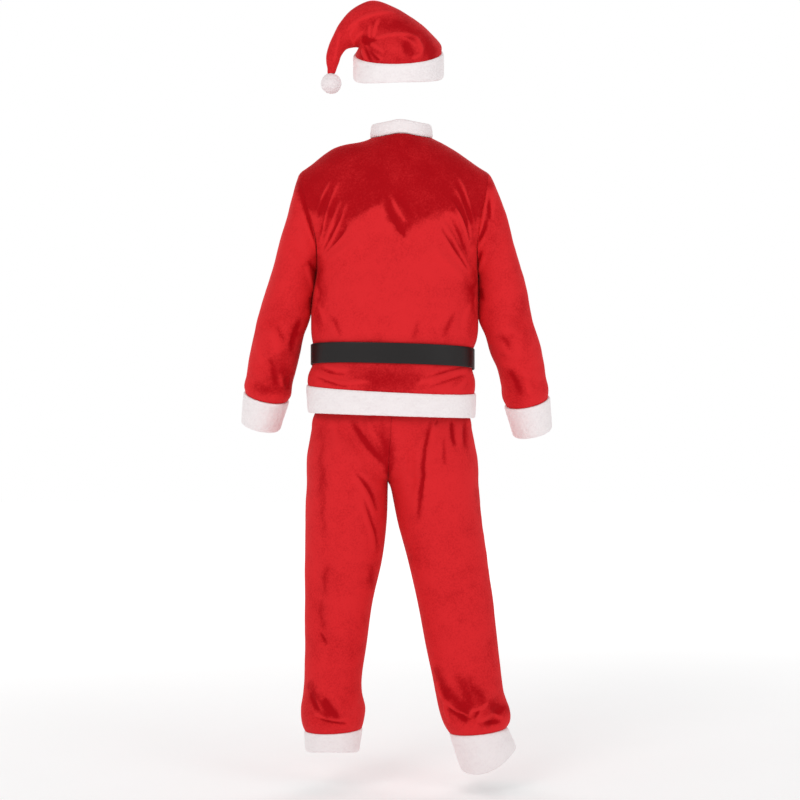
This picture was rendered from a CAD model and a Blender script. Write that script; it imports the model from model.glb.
"""Santa suit: velvet jacket, trousers and hat with plush edges, and a buckled belt.

Metres, +Z up, the front faces -Y and the wearer's left is +X. The origin is the middle of the neck
opening. Every cloth piece is a surface of two parameters worked out from a table of sizes, with
folds and creases added along its outward direction, and closed with an inner face.
"""

import math

import bmesh
import bpy
import numpy as np
from bpy.props import FloatProperty, FloatVectorProperty, PointerProperty
from bpy.types import Operator, Panel, PropertyGroup
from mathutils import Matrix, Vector


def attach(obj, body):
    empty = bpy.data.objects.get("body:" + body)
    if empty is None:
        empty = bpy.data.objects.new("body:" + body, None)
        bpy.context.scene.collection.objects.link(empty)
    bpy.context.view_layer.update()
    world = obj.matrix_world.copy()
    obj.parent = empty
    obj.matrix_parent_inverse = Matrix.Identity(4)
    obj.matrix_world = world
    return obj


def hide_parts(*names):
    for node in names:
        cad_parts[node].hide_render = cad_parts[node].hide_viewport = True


bl_info = {
    "name": "Santa Suit",
    "version": (1, 0, 0),
    "blender": (4, 5, 0),
    "location": "View3D > Sidebar > Santa Suit",
    "description": "Builds a velvet and plush santa suit piece by piece",
    "category": "Add Mesh",
}

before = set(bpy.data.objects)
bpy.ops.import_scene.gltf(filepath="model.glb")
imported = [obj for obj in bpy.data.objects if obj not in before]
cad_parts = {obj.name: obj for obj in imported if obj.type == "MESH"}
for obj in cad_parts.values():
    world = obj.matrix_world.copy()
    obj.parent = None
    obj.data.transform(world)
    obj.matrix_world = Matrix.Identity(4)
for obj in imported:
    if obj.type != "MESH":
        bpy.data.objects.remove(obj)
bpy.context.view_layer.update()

FLOOR = -1.500          # floor below the neck opening
SEAM = 0.0003           # gap between neighbouring pieces
SEWN = 0.00005          # gap left along a sewn seam of the velvet
STEP = 1e-3             # parameter step for slopes

# Jacket body, hem to underarm: one row for each level section.
BODY = np.array([       # height, half width, back, front, centre x, tilt along x, tilt along y
    (0.881, 0.1930, 0.134, 0.124, 0.0150, 0.032, 0.02),
    (0.912, 0.1950, 0.135, 0.127, 0.0155, 0.034, -0.01),
    (0.943, 0.1960, 0.132, 0.128, 0.0160, 0.050, -0.04),
    (0.970, 0.1950, 0.127, 0.127, 0.0145, 0.034, 0.02),
    (0.995, 0.1870, 0.1155, 0.118, 0.0130, 0.027, 0.085),
    (1.017, 0.1860, 0.1150, 0.118, 0.0125, 0.027, 0.087),
    (1.039, 0.1875, 0.1155, 0.118, 0.0115, 0.027, 0.085),
    (1.068, 0.1945, 0.127, 0.130, 0.0085, 0.020, 0.05),
    (1.120, 0.1960, 0.130, 0.134, 0.0080, 0.010, 0.02),
    (1.170, 0.1935, 0.132, 0.136, 0.0045, 0.000, 0.00),
    (1.222, 0.1890, 0.133, 0.136, 0.0015, 0.000, 0.00),
])
BODY_POWER = 2.5        # 2 is an ellipse, more is squarer
BODY_TOP = len(BODY) - 1        # row at the underarm
HEM_TOP = 2.0           # row at the top of the hem's plush
NECK_HALF_WIDTH = 0.072
NECK_SIDE_HEIGHT = 1.529
NECK_DEPTH = (0.066, 0.074)     # the neckline's reach behind the middle and in front of it
NECK_HALVINGS = 30
NECK_SAMPLES = 14401    # angles at which the neckline's cut is worked out
RIDGE_ROUND = 0.030             # rounding of the ridge over the shoulders at its middle
RIDGE_LIFT = (0.002, -0.044)    # its middle's lift behind and in front
RIDGE_LIFT_POWER = 1.5
NECK_X = -0.008
SHOULDER_TIP = (0.221, 1.448)   # half width, height
SHOULDER_X = 0.009
SHOULDER_LIFT = (0.018, 0.002)  # how much fuller the left and right shoulders are, halfway along
BODY_PULL = (0.9, 1.2)  # how strongly it leaves the underarm upright and reaches the ridge level
NECK_ANGLE = 22.0       # degrees from the middle to the neckline's side
TIP_ANGLE = 68.0        # to the shoulder's tip
ARMHOLE_ANGLE = 70.0    # to the armhole's edge above its rounded foot
ARMHOLE_REACH = 0.50    # share of the rise that its foot takes
RISE_SPACING = 1.5      # power that sets rows closer together at the underarm

SLEEVE_LEFT = np.array([        # height, centre x, centre y, half width, half depth
    (1.165, 0.2550, 0.002, 0.0536, 0.072),
    (1.120, 0.2643, 0.000, 0.0581, 0.070),
    (1.080, 0.2778, -0.004, 0.0562, 0.067),
    (1.040, 0.2868, -0.012, 0.0567, 0.063),
    (1.000, 0.2965, -0.025, 0.0560, 0.060),
    (0.965, 0.3040, -0.037, 0.0545, 0.058),
    (0.940, 0.3090, -0.046, 0.0560, 0.058),
    (0.924, 0.3125, -0.052, 0.0500, 0.052),
])
SLEEVE_RIGHT = np.array([
    (1.165, -0.2475, 0.006, 0.0555, 0.072),
    (1.120, -0.2500, 0.004, 0.0598, 0.070),
    (1.080, -0.2620, -0.002, 0.0570, 0.067),
    (1.040, -0.2745, -0.012, 0.0580, 0.063),
    (1.000, -0.2885, -0.025, 0.0545, 0.060),
    (0.962, -0.2970, -0.037, 0.0530, 0.058),
    (0.932, -0.3025, -0.048, 0.0550, 0.058),
    (0.912, -0.3065, -0.054, 0.0500, 0.052),
])
SLEEVE_OUT = (          # how far they leave their armholes sideways: under, beside and over
    (0.12, 0.40, 0.15),
    (0.40, 0.40, 0.40),
)
SLEEVE_PULL = (0.45, 0.45, 0.8) # at the armhole, added under the arm, and at the first ring
SLEEVE_REST = (         # height they rest at the jacket's side, reach, and how much fuller
    (1.190, 0.036, 0.0038),
    (1.178, 0.050, 0.0066),
)
SLEEVE_PUFF = (         # the same at their outer edges
    (1.360, 0.045, -0.0015),
    (1.262, 0.080, -0.0058),
)
CUFF_LENGTH = 0.078
CUFF_FLARE = (0.0045, -0.0040)  # how much wider than the sleeve its two edges are
CUFF_POINTS = 190
FOREARM_TILT = 0.26     # slope of the forearm's rings, front to back
FOREARM_TOP = (1.13, 0.13)      # height from which they lean, and drop over which they come to it
ARM_TILT = 0.21         # slope of a sleeve's rings, side to side

# One row for each section of a leg, an ellipse up to an angle, in degrees, from the side seam.
LEG_LEFT = np.array([   # side x, side height, inner x, inner height, back, front, centre y, angle
    (0.2200, 0.138, 0.0850, 0.144, 0.069, 0.071, 0.006, 180),
    (0.2270, 0.160, 0.0800, 0.163, 0.078, 0.080, 0.004, 180),
    (0.2285, 0.192, 0.0770, 0.192, 0.080, 0.082, 0.002, 180),
    (0.2240, 0.228, 0.0850, 0.228, 0.075, 0.078, 0.000, 180),
    (0.2205, 0.270, 0.0845, 0.270, 0.073, 0.074, 0.000, 180),
    (0.2195, 0.340, 0.0740, 0.340, 0.075, 0.074, 0.000, 180),
    (0.2200, 0.440, 0.0600, 0.440, 0.079, 0.078, -0.002, 180),
    (0.2200, 0.540, 0.0375, 0.540, 0.086, 0.086, -0.002, 180),
    (0.2185, 0.630, 0.0265, 0.630, 0.097, 0.092, 0.000, 180),
    (0.2155, 0.705, 0.0240, 0.705, 0.106, 0.096, 0.000, 180),
    (0.2150, 0.757, 0.0235, 0.724, 0.112, 0.099, 0.000, 180),
    (0.2140, 0.778, 0.0230, 0.738, 0.1122, 0.0988, 0.000, 156),
    (0.2115, 0.801, 0.0220, 0.760, 0.1142, 0.1015, 0.000, 132),
    (0.2080, 0.825, 0.0200, 0.796, 0.1160, 0.1040, 0.000, 110),
    (0.2040, 0.848, 0.0170, 0.842, 0.116, 0.105, 0.000, 90),
    (0.2010, 0.872, 0.0155, 0.872, 0.114, 0.104, 0.000, 90),
    (0.1820, 0.920, 0.0150, 0.920, 0.108, 0.102, 0.000, 90),
    (0.1740, 0.980, 0.0130, 0.980, 0.101, 0.102, 0.000, 90),
])
LEG_RIGHT = np.array([
    (-0.2560, 0.148, -0.1210, 0.134, 0.069, 0.071, 0.016, 180),
    (-0.2640, 0.166, -0.1070, 0.156, 0.078, 0.080, 0.014, 180),
    (-0.2620, 0.192, -0.0965, 0.188, 0.081, 0.083, 0.012, 180),
    (-0.2495, 0.228, -0.0885, 0.226, 0.077, 0.079, 0.010, 180),
    (-0.2430, 0.270, -0.0800, 0.270, 0.074, 0.075, 0.008, 180),
    (-0.2360, 0.340, -0.0650, 0.340, 0.076, 0.075, 0.006, 180),
    (-0.2245, 0.440, -0.0460, 0.440, 0.080, 0.079, 0.004, 180),
    (-0.2105, 0.540, -0.0230, 0.540, 0.087, 0.087, 0.002, 180),
    (-0.1975, 0.630, 0.0010, 0.630, 0.097, 0.092, 0.000, 180),
    (-0.1910, 0.705, 0.0160, 0.705, 0.106, 0.096, 0.000, 180),
    (-0.1890, 0.757, 0.0235, 0.724, 0.112, 0.099, 0.000, 180),
    (-0.1865, 0.778, 0.0230, 0.738, 0.1122, 0.0988, 0.000, 156),
    (-0.1825, 0.801, 0.0220, 0.760, 0.1142, 0.1015, 0.000, 132),
    (-0.1780, 0.825, 0.0200, 0.796, 0.1160, 0.1040, 0.000, 110),
    (-0.1740, 0.848, 0.0170, 0.842, 0.116, 0.105, 0.000, 90),
    (-0.1710, 0.872, 0.0155, 0.872, 0.114, 0.104, 0.000, 90),
    (-0.1535, 0.920, 0.0150, 0.920, 0.108, 0.102, 0.000, 90),
    (-0.1470, 0.980, 0.0130, 0.980, 0.101, 0.102, 0.000, 90),
])
# The same at the cuffs' lower edges, but the last number is how much higher each one is behind.
HEM_LEFT = np.array([(0.2170, 0.090, 0.0930, 0.089, 0.067, 0.072, 0.004, 0.008)])
HEM_RIGHT = np.array([(-0.2780, 0.099, -0.1500, 0.046, 0.067, 0.072, 0.014, -0.018)])
LEG_ROW_LEAST = 0.01    # least length that is counted for a row of these tables
TROUSER_CUFF_TALL = 0.055
TROUSER_CUFF_OUT = 0.0015
TROUSER_CUFF_POINTS = 200
WAISTBAND_TALL = 0.038
WAISTBAND_THICK = 0.003
WAISTBAND_GATHERS = (70.0, 0.0012)      # number and depth
WAISTBAND_NAP = 0.3
WAISTBAND_POINTS = (7, 420)

HAT = np.array([        # fold x, fold height, outer x, outer height, half depth, centre y
    (0.1005, 1.7255, -0.1030, 1.731, 0.1120, -0.008),
    (0.0985, 1.7310, -0.1010, 1.748, 0.1070, -0.007),
    (0.0965, 1.7345, -0.0825, 1.770, 0.0970, -0.005),
    (0.0945, 1.7370, -0.0475, 1.8005, 0.0830, -0.002),
    (0.0930, 1.7390, 0.0050, 1.8335, 0.0660, 0.002),
    (0.0935, 1.7405, 0.0615, 1.849, 0.0520, 0.006),
    (0.0975, 1.7405, 0.1095, 1.8265, 0.0420, 0.010),
    (0.1080, 1.7390, 0.1390, 1.792, 0.0330, 0.014),
    (0.1215, 1.7345, 0.1565, 1.7555, 0.0260, 0.018),
    (0.1320, 1.7205, 0.1660, 1.727, 0.0200, 0.021),
    (0.1375, 1.7040, 0.1668, 1.705, 0.0145, 0.023),
    (0.1425, 1.6900, 0.1645, 1.689, 0.0110, 0.024),
    (0.1460, 1.6780, 0.1647, 1.677, 0.0095, 0.025),
])
HAT_BAND_TALL = 0.057
HAT_BAND_PINCH = 0.015  # how much less the band is tall at the back and the front than at its sides
HAT_BAND_THICK = 0.009
HAT_BAND_OUT = 0.0045
HAT_BAND_POINTS = 320
HAT_POINTS = (120, 150)
HAT_SPACING = ((0.0, 0.55, 1.0), (0.0, 6.5, 12.0))      # share of the points and row reached
HAT_TILT = -0.34        # slope of the crown's edge: the back of the hat sits lower than its front
HAT_TILT_ROWS = 3.5     # rows of HAT over which the crown comes level
POMPOM_RADIUS = 0.0235
POMPOM_CENTRE = (0.1558, 0.025, 1.6545)
POMPOM_TUFT = 0.0016
POMPOM_SHIFT = 3.0      # moves it to another place in the tufts' noise

COLLAR_TALL = 0.032
COLLAR_THICK = 0.009
COLLAR_OUT = 0.002
COLLAR_LEAN = 0.004     # how far its top leans in
COLLAR_POINTS = 52      # on each quarter
TRIM_SHARE = 0.13       # half width of the front trim, as a share of a front panel
TRIM_THICK = 0.008
TRIM_PRESSED = 0.003    # its thickness under the belt
TRIM_PRESSED_ROWS = 2.3
TRIM_EDGE = 0.45        # how much thinner its edges are
TRIM_CALM = (0.75, 0.3) # how much lower the tufts are under the belt and at its edges
TRIM_CLEAR = 0.0006
TRIM_POINTS = (120, 33)
HEM_BAND_TALL = 0.068
HEM_BAND_OUT = 0.003
HEM_END_GAP = 0.0006
HEM_POINTS = 520

BELT_ROW = 5.0          # row of BODY at its middle
BELT_TALL = 0.047
BELT_THICK = 0.003
BELT_CLEAR = 0.0035
BELT_BUMP = (0.0035, 0.050)     # how far it stands out over the front trim, and half how wide
BELT_START = 184.0      # degrees at its inner end
BELT_LAP = 24.0         # degrees past the front's middle at its outer end
BELT_LAP_RISE = (163.0, 14.0)   # degrees at which the lap begins to rise, and over how many
BELT_LAP_OUT = 0.0006
BELT_ROLL = (0.0022, 0.0012)    # reach and depth of its rolled edges
BELT_GROOVE = (0.0003, 0.0040, 0.0006)  # depth, distance from the edge, half width
BELT_POINTS = (15, 400)
BUCKLE_SIZE = (0.076, 0.063)
BUCKLE_BAR = 0.0075
BUCKLE_THICK = 0.004
BUCKLE_CORNERS = 9      # power of the frame's outline, whose corners are rounded
BUCKLE_SECTION = 3      # power of its bar's section
BUCKLE_POINTS = (20, 192)       # round the bar's section and along the frame

FLOOR_REACH = 9.0
FLOOR_GREYS = (0.91, 0.93)
FLOOR_GLOW_REACH = (1.5, 6.0)   # distances between which its glow grows
FLOOR_GLOW_NEAR = 0.3   # share of the glow under the suit
VIEW_MIDDLE = -0.0047   # x at the middle of the view
VIEW_DROP = 0.0235      # how far below the floor the view's lower edge is
LAMPS = (               # place, width, power share, colour
    ((2.2, 4.2, 2.4), 2.4, 1.0, (1.0, 0.99, 0.98)),
    ((-3.0, 3.4, 1.2), 2.4, 0.45, (0.98, 0.99, 1.0)),
    ((-1.5, -3.6, 2.2), 2.6, 0.6, (1.0, 1.0, 1.0)),
    ((2.6, -3.2, 1.2), 2.6, 0.5, (1.0, 1.0, 1.0)),
)

JACKET_LENGTHS = (0.29, 0.34, 0.31)     # hem to underarm, underarm to neck, and round a front
SLEEVE_LENGTHS = (0.30, 0.25, 0.40)     # cap, the rest, and round it
TROUSER_LENGTHS = (0.86, 0.28)          # up a leg and round half of it
BACK_FINER = 1.38       # how much finer than the rest the points of the jacket's back are
LIMB_FINER = 1.15       # and those of the sleeves and the trousers' back

FOLD_FULLNESS = 1.7     # how deep the large folds are made, as a share of their depths below
FOLD_TURNED = 0.6       # share of the outward direction to front or back at which they are full
CREASE_TURNED = 0.45    # the same for the creases
NAP_TURNED = 0.2        # and for the nap
STROKE_FADE = 0.6       # power of the fading of creases and nap at their ends
CREASE_WANDER = (0.0035, 0.06, 11)      # how far, size of the noise, seed
WANDER_SEEDS = (0, 12, 26)      # added to the seed along each axis
WAVES = ((0.0011, 0.055, 3), (0.0005, 0.021, 5))        # height, size, seed
SEAM_CALM = 0.006       # distance from a seam over which creases and waves grow
SEAM_DRAWN = (0.0007, 0.004)    # how far the cloth is drawn in along a seam, and its reach
INSEAM_CALM = 0.016     # distance from the legs' seam over which cloth may move sideways
RIDGE_HEIGHT = 0.003    # crease that counts as a whole ridge for the finish
RIDGE_WAVES = 0.4       # share of the waves that counts with it
INNER_NAP = 0.5
NAP_FRAY = ((0.03, 61), (0.011, 67))    # size and seed of the noise that frays the nap's patches
JACKET_FRAY = (0.007, 0.004)    # how far the two noises move them on the jacket
LIMB_FRAY = (0.005, 0.0035)     # and on the other pieces
NAP_PATCHES = (0.16, 0.11, 71)  # strength, size, seed

PLUSH_SPACING = 0.25    # how far a band's rows of points are moved from a cosine's spacing
PLUSH_ROUND = (0.9, 0.42)       # reach and depth of its rounded edges, in thicknesses
TUFT_POINTS = (0.42, 0.0052, 41)        # share, size, seed
TUFT_FINE = (0.33, 0.0034, 43)
TUFT_CLUMPS = (0.35, 0.017, 47)
TUFT_CALM = 0.6         # how much lower the tufts are at a band's edges
SWAY = (0.0004, 0.004)  # how far the plush's points sway, and the noise's size
SWAY_SEEDS = (51, 53, 57)

# Large folds, each from (x0, height0) to (x1, height1) with a spread and a depth, seen square on.
JACKET_BACK_FOLDS = np.array([
    (0.178, 1.250, 0.080, 1.385, 0.016, -0.0045),
    (0.186, 1.265, 0.120, 1.420, 0.014, -0.0035),
    (0.170, 1.225, 0.060, 1.290, 0.018, 0.0030),
    (-0.180, 1.225, -0.090, 1.370, 0.016, -0.0050),
    (-0.184, 1.250, -0.140, 1.410, 0.013, -0.0035),
    (-0.165, 1.200, -0.050, 1.275, 0.018, 0.0030),
    (0.060, 1.430, 0.000, 1.345, 0.020, -0.0020),
    (-0.050, 1.430, 0.000, 1.345, 0.020, -0.0020),
    (0.190, 0.985, 0.110, 0.962, 0.011, -0.0035),
    (-0.160, 0.985, -0.080, 0.960, 0.011, -0.0035),
    (0.130, 1.062, 0.160, 1.130, 0.014, 0.0030),
    (-0.110, 1.062, -0.140, 1.140, 0.014, 0.0030),
])
JACKET_FRONT_FOLDS = np.array([
    (0.178, 1.250, 0.095, 1.390, 0.016, -0.0040),
    (0.168, 1.210, 0.070, 1.270, 0.018, 0.0030),
    (-0.178, 1.240, -0.090, 1.380, 0.016, -0.0045),
    (-0.165, 1.205, -0.075, 1.285, 0.018, 0.0030),
    (0.125, 1.065, 0.150, 1.140, 0.014, 0.0035),
    (-0.105, 1.065, -0.130, 1.130, 0.014, 0.0035),
])
TROUSER_BACK_FOLDS = np.array([
    (0.135, 0.860, 0.030, 0.745, 0.014, -0.0060),
    (0.120, 0.790, 0.035, 0.700, 0.015, 0.0040),
    (-0.028, 0.850, -0.030, 0.690, 0.010, -0.0050),
    (-0.075, 0.850, -0.065, 0.780, 0.010, -0.0035),
    (-0.130, 0.800, -0.010, 0.715, 0.015, -0.0040),
    (0.195, 0.560, 0.180, 0.330, 0.020, -0.0040),
    (0.210, 0.175, 0.120, 0.158, 0.011, -0.0070),
    (0.090, 0.215, 0.150, 0.185, 0.013, 0.0050),
    (-0.130, 0.200, -0.195, 0.158, 0.012, -0.0080),
    (-0.250, 0.205, -0.205, 0.158, 0.012, -0.0080),
    (-0.150, 0.235, -0.230, 0.222, 0.014, 0.0050),
])
TROUSER_FRONT_FOLDS = np.array([
    (0.140, 0.840, 0.040, 0.765, 0.014, -0.0050),
    (-0.110, 0.840, 0.005, 0.765, 0.014, -0.0050),
    (0.110, 0.470, 0.200, 0.450, 0.016, -0.0040),
    (-0.080, 0.470, -0.180, 0.455, 0.016, -0.0040),
    (0.100, 0.190, 0.205, 0.168, 0.012, -0.0080),
    (-0.130, 0.192, -0.240, 0.172, 0.012, -0.0080),
])
SLEEVE_FOLDS = np.array([
    (0.225, 1.110, 0.320, 1.085, 0.013, -0.0055),
    (0.235, 1.060, 0.330, 1.110, 0.013, -0.0045),
    (0.245, 1.010, 0.345, 0.990, 0.012, -0.0040),
    (0.262, 0.962, 0.350, 0.952, 0.010, -0.0045),
    (0.215, 1.240, 0.262, 1.330, 0.016, -0.0050),
])

# Finer creases on top of them, each a curved stroke: x0, height0, x1, height1, bend, spread and
# depth. Ridges are positive and troughs negative.
JACKET_BACK_CREASES = np.array([
    (0.155, 1.424, 0.184, 1.358, 0.002, 0.0036, 0.0030),
    (0.135, 1.420, 0.181, 1.271, 0.008, 0.0036, 0.0032),
    (0.152, 1.392, 0.178, 1.318, 0.003, 0.0040, 0.0024),
    (0.133, 1.376, 0.177, 1.256, 0.003, 0.0042, 0.0030),
    (0.119, 1.368, 0.174, 1.250, -0.003, 0.0036, 0.0032),
    (0.114, 1.309, 0.172, 1.244, 0.002, 0.0040, 0.0028),
    (0.096, 1.286, 0.160, 1.238, 0.002, 0.0050, 0.0018),
    (0.147, 1.402, 0.179, 1.296, 0.006, 0.0036, -0.0030),
    (0.127, 1.352, 0.173, 1.264, 0.002, 0.0032, -0.0028),
    (0.117, 1.328, 0.168, 1.254, -0.003, 0.0032, -0.0026),
    (0.163, 1.400, 0.188, 1.338, 0.000, 0.0036, -0.0028),
    (-0.138, 1.435, -0.176, 1.322, -0.004, 0.0036, 0.0032),
    (-0.127, 1.406, -0.173, 1.279, -0.009, 0.0036, 0.0032),
    (-0.122, 1.374, -0.168, 1.292, -0.004, 0.0042, 0.0022),
    (-0.129, 1.360, -0.171, 1.269, -0.003, 0.0040, 0.0030),
    (-0.096, 1.337, -0.168, 1.214, -0.004, 0.0042, 0.0028),
    (-0.099, 1.301, -0.164, 1.210, 0.002, 0.0036, 0.0026),
    (-0.080, 1.270, -0.150, 1.196, 0.002, 0.0050, 0.0018),
    (-0.133, 1.420, -0.171, 1.326, -0.006, 0.0036, -0.0028),
    (-0.120, 1.386, -0.168, 1.284, -0.007, 0.0032, -0.0030),
    (-0.116, 1.346, -0.167, 1.248, -0.003, 0.0032, -0.0028),
    (-0.094, 1.318, -0.161, 1.220, -0.001, 0.0032, -0.0026),
    (0.021, 1.392, -0.021, 1.321, 0.002, 0.0045, 0.0028),
    (0.024, 1.360, -0.018, 1.289, 0.000, 0.0052, -0.0030),
    (0.010, 1.395, -0.034, 1.336, -0.002, 0.0050, -0.0020),
    (0.172, 1.000, 0.112, 0.989, 0.002, 0.0042, 0.0028),
    (0.195, 0.985, 0.106, 0.961, 0.003, 0.0046, 0.0032),
    (0.150, 0.963, 0.060, 0.956, -0.002, 0.0050, 0.0022),
    (0.190, 0.973, 0.112, 0.951, 0.002, 0.0038, -0.0026),
    (0.180, 0.993, 0.120, 0.978, 0.002, 0.0034, -0.0022),
    (-0.036, 0.950, -0.166, 0.988, -0.004, 0.0046, 0.0032),
    (-0.128, 0.940, -0.162, 0.966, 0.002, 0.0040, 0.0026),
    (-0.060, 0.964, -0.158, 0.995, -0.003, 0.0036, -0.0026),
    (-0.070, 0.945, -0.164, 0.976, -0.003, 0.0034, -0.0024),
    (0.132, 1.060, 0.156, 1.118, 0.004, 0.0060, -0.0020),
    (0.064, 1.058, 0.080, 1.098, 0.002, 0.0060, 0.0016),
    (-0.034, 1.058, -0.048, 1.104, 0.003, 0.0065, -0.0014),
    (-0.104, 1.060, -0.132, 1.122, -0.004, 0.0060, -0.0022),
    (0.168, 1.094, 0.186, 1.146, 0.002, 0.0050, 0.0022),
    (-0.150, 1.086, -0.168, 1.140, -0.002, 0.0050, 0.0022),
])
JACKET_FRONT_CREASES = np.array([
    (0.142, 1.418, 0.182, 1.282, 0.006, 0.0050, 0.0030),
    (0.128, 1.384, 0.176, 1.262, 0.002, 0.0050, -0.0028),
    (0.112, 1.350, 0.170, 1.246, -0.003, 0.0052, 0.0028),
    (0.100, 1.304, 0.164, 1.226, 0.003, 0.0060, 0.0022),
    (0.072, 1.430, 0.060, 1.340, 0.005, 0.0090, -0.0016),
    (-0.134, 1.426, -0.172, 1.300, -0.006, 0.0050, 0.0030),
    (-0.120, 1.372, -0.168, 1.272, -0.004, 0.0050, -0.0028),
    (-0.104, 1.344, -0.166, 1.232, 0.003, 0.0052, 0.0028),
    (-0.090, 1.292, -0.158, 1.214, -0.002, 0.0060, 0.0022),
    (-0.066, 1.420, -0.052, 1.350, -0.004, 0.0090, -0.0016),
    (0.190, 0.984, 0.100, 0.962, 0.003, 0.0055, 0.0030),
    (0.150, 0.996, 0.090, 0.984, -0.002, 0.0050, -0.0024),
    (-0.168, 0.990, -0.080, 0.960, 0.003, 0.0055, 0.0030),
    (-0.120, 0.996, -0.066, 0.984, 0.002, 0.0050, -0.0022),
    (0.120, 1.062, 0.146, 1.128, 0.004, 0.0065, -0.0022),
    (0.060, 1.060, 0.072, 1.104, 0.002, 0.0065, 0.0016),
    (-0.098, 1.062, -0.128, 1.120, -0.004, 0.0065, -0.0022),
    (-0.050, 1.060, -0.062, 1.096, -0.002, 0.0065, 0.0016),
])
TROUSER_BACK_CREASES = np.array([
    (0.097, 0.752, 0.046, 0.660, -0.005, 0.0044, -0.0034),
    (0.104, 0.744, 0.054, 0.654, -0.005, 0.0050, 0.0030),
    (0.080, 0.696, 0.048, 0.560, -0.005, 0.0044, -0.0030),
    (0.088, 0.690, 0.056, 0.566, -0.005, 0.0055, 0.0024),
    (0.110, 0.870, 0.026, 0.768, 0.004, 0.0060, -0.0030),
    (0.070, 0.872, 0.028, 0.800, 0.003, 0.0060, 0.0022),
    (0.150, 0.872, 0.136, 0.800, 0.003, 0.0070, 0.0016),
    (-0.077, 0.876, -0.046, 0.640, 0.003, 0.0056, -0.0034),
    (-0.086, 0.874, -0.060, 0.700, 0.003, 0.0060, 0.0022),
    (-0.123, 0.872, -0.132, 0.812, 0.001, 0.0040, -0.0030),
    (-0.106, 0.832, -0.113, 0.768, 0.001, 0.0042, -0.0022),
    (-0.092, 0.876, -0.085, 0.858, 0.000, 0.0034, -0.0024),
    (-0.137, 0.872, -0.146, 0.820, 0.001, 0.0050, 0.0020),
    (-0.157, 0.870, -0.158, 0.806, 0.002, 0.0050, -0.0022),
    (0.183, 0.380, 0.164, 0.350, 0.001, 0.0040, -0.0026),
    (0.192, 0.186, 0.163, 0.175, -0.001, 0.0030, 0.0034),
    (0.168, 0.176, 0.116, 0.172, 0.002, 0.0030, 0.0034),
    (0.122, 0.172, 0.100, 0.156, 0.002, 0.0030, 0.0028),
    (0.182, 0.176, 0.116, 0.163, 0.001, 0.0036, -0.0034),
    (0.206, 0.236, 0.180, 0.196, 0.002, 0.0050, -0.0028),
    (0.174, 0.232, 0.140, 0.180, 0.002, 0.0048, -0.0030),
    (0.194, 0.232, 0.166, 0.188, 0.002, 0.0044, 0.0026),
    (-0.104, 0.220, -0.140, 0.190, -0.002, 0.0032, 0.0036),
    (-0.132, 0.196, -0.168, 0.179, -0.002, 0.0032, 0.0036),
    (-0.166, 0.178, -0.174, 0.202, -0.001, 0.0032, 0.0030),
    (-0.170, 0.198, -0.208, 0.212, 0.003, 0.0032, 0.0034),
    (-0.209, 0.214, -0.188, 0.190, 0.003, 0.0032, 0.0034),
    (-0.190, 0.194, -0.180, 0.160, 0.001, 0.0032, 0.0034),
    (-0.092, 0.260, -0.108, 0.212, 0.002, 0.0034, 0.0028),
    (-0.108, 0.216, -0.122, 0.166, 0.003, 0.0036, 0.0030),
    (-0.186, 0.172, -0.210, 0.181, 0.000, 0.0034, 0.0030),
    (-0.206, 0.180, -0.234, 0.190, 0.001, 0.0034, 0.0028),
    (-0.230, 0.190, -0.246, 0.176, 0.000, 0.0034, 0.0026),
    (-0.116, 0.204, -0.160, 0.168, -0.002, 0.0050, -0.0036),
    (-0.194, 0.201, -0.178, 0.176, 0.002, 0.0040, -0.0036),
    (-0.214, 0.206, -0.252, 0.196, 0.002, 0.0060, -0.0030),
    (-0.200, 0.168, -0.240, 0.172, 0.001, 0.0044, -0.0030),
])
TROUSER_FRONT_CREASES = np.array([
    (0.120, 0.864, 0.034, 0.776, 0.004, 0.0060, -0.0030),
    (0.090, 0.760, 0.044, 0.690, -0.004, 0.0056, -0.0028),
    (0.098, 0.752, 0.052, 0.684, -0.004, 0.0060, 0.0024),
    (-0.090, 0.864, -0.008, 0.780, -0.004, 0.0060, -0.0030),
    (-0.070, 0.756, -0.034, 0.690, 0.004, 0.0056, -0.0028),
    (-0.110, 0.850, -0.126, 0.800, 0.001, 0.0050, 0.0022),
    (0.090, 0.488, 0.176, 0.454, 0.006, 0.0080, -0.0026),
    (0.110, 0.516, 0.184, 0.498, -0.004, 0.0080, 0.0020),
    (-0.070, 0.490, -0.158, 0.456, -0.006, 0.0080, -0.0026),
    (-0.096, 0.520, -0.170, 0.500, 0.004, 0.0080, 0.0020),
    (0.204, 0.214, 0.150, 0.178, 0.003, 0.0040, 0.0034),
    (0.154, 0.182, 0.100, 0.172, 0.002, 0.0040, 0.0032),
    (0.184, 0.184, 0.120, 0.162, 0.001, 0.0046, -0.0034),
    (-0.118, 0.222, -0.170, 0.184, -0.003, 0.0040, 0.0034),
    (-0.168, 0.186, -0.236, 0.200, 0.004, 0.0040, 0.0032),
    (-0.136, 0.196, -0.220, 0.170, -0.002, 0.0046, -0.0034),
])
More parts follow.
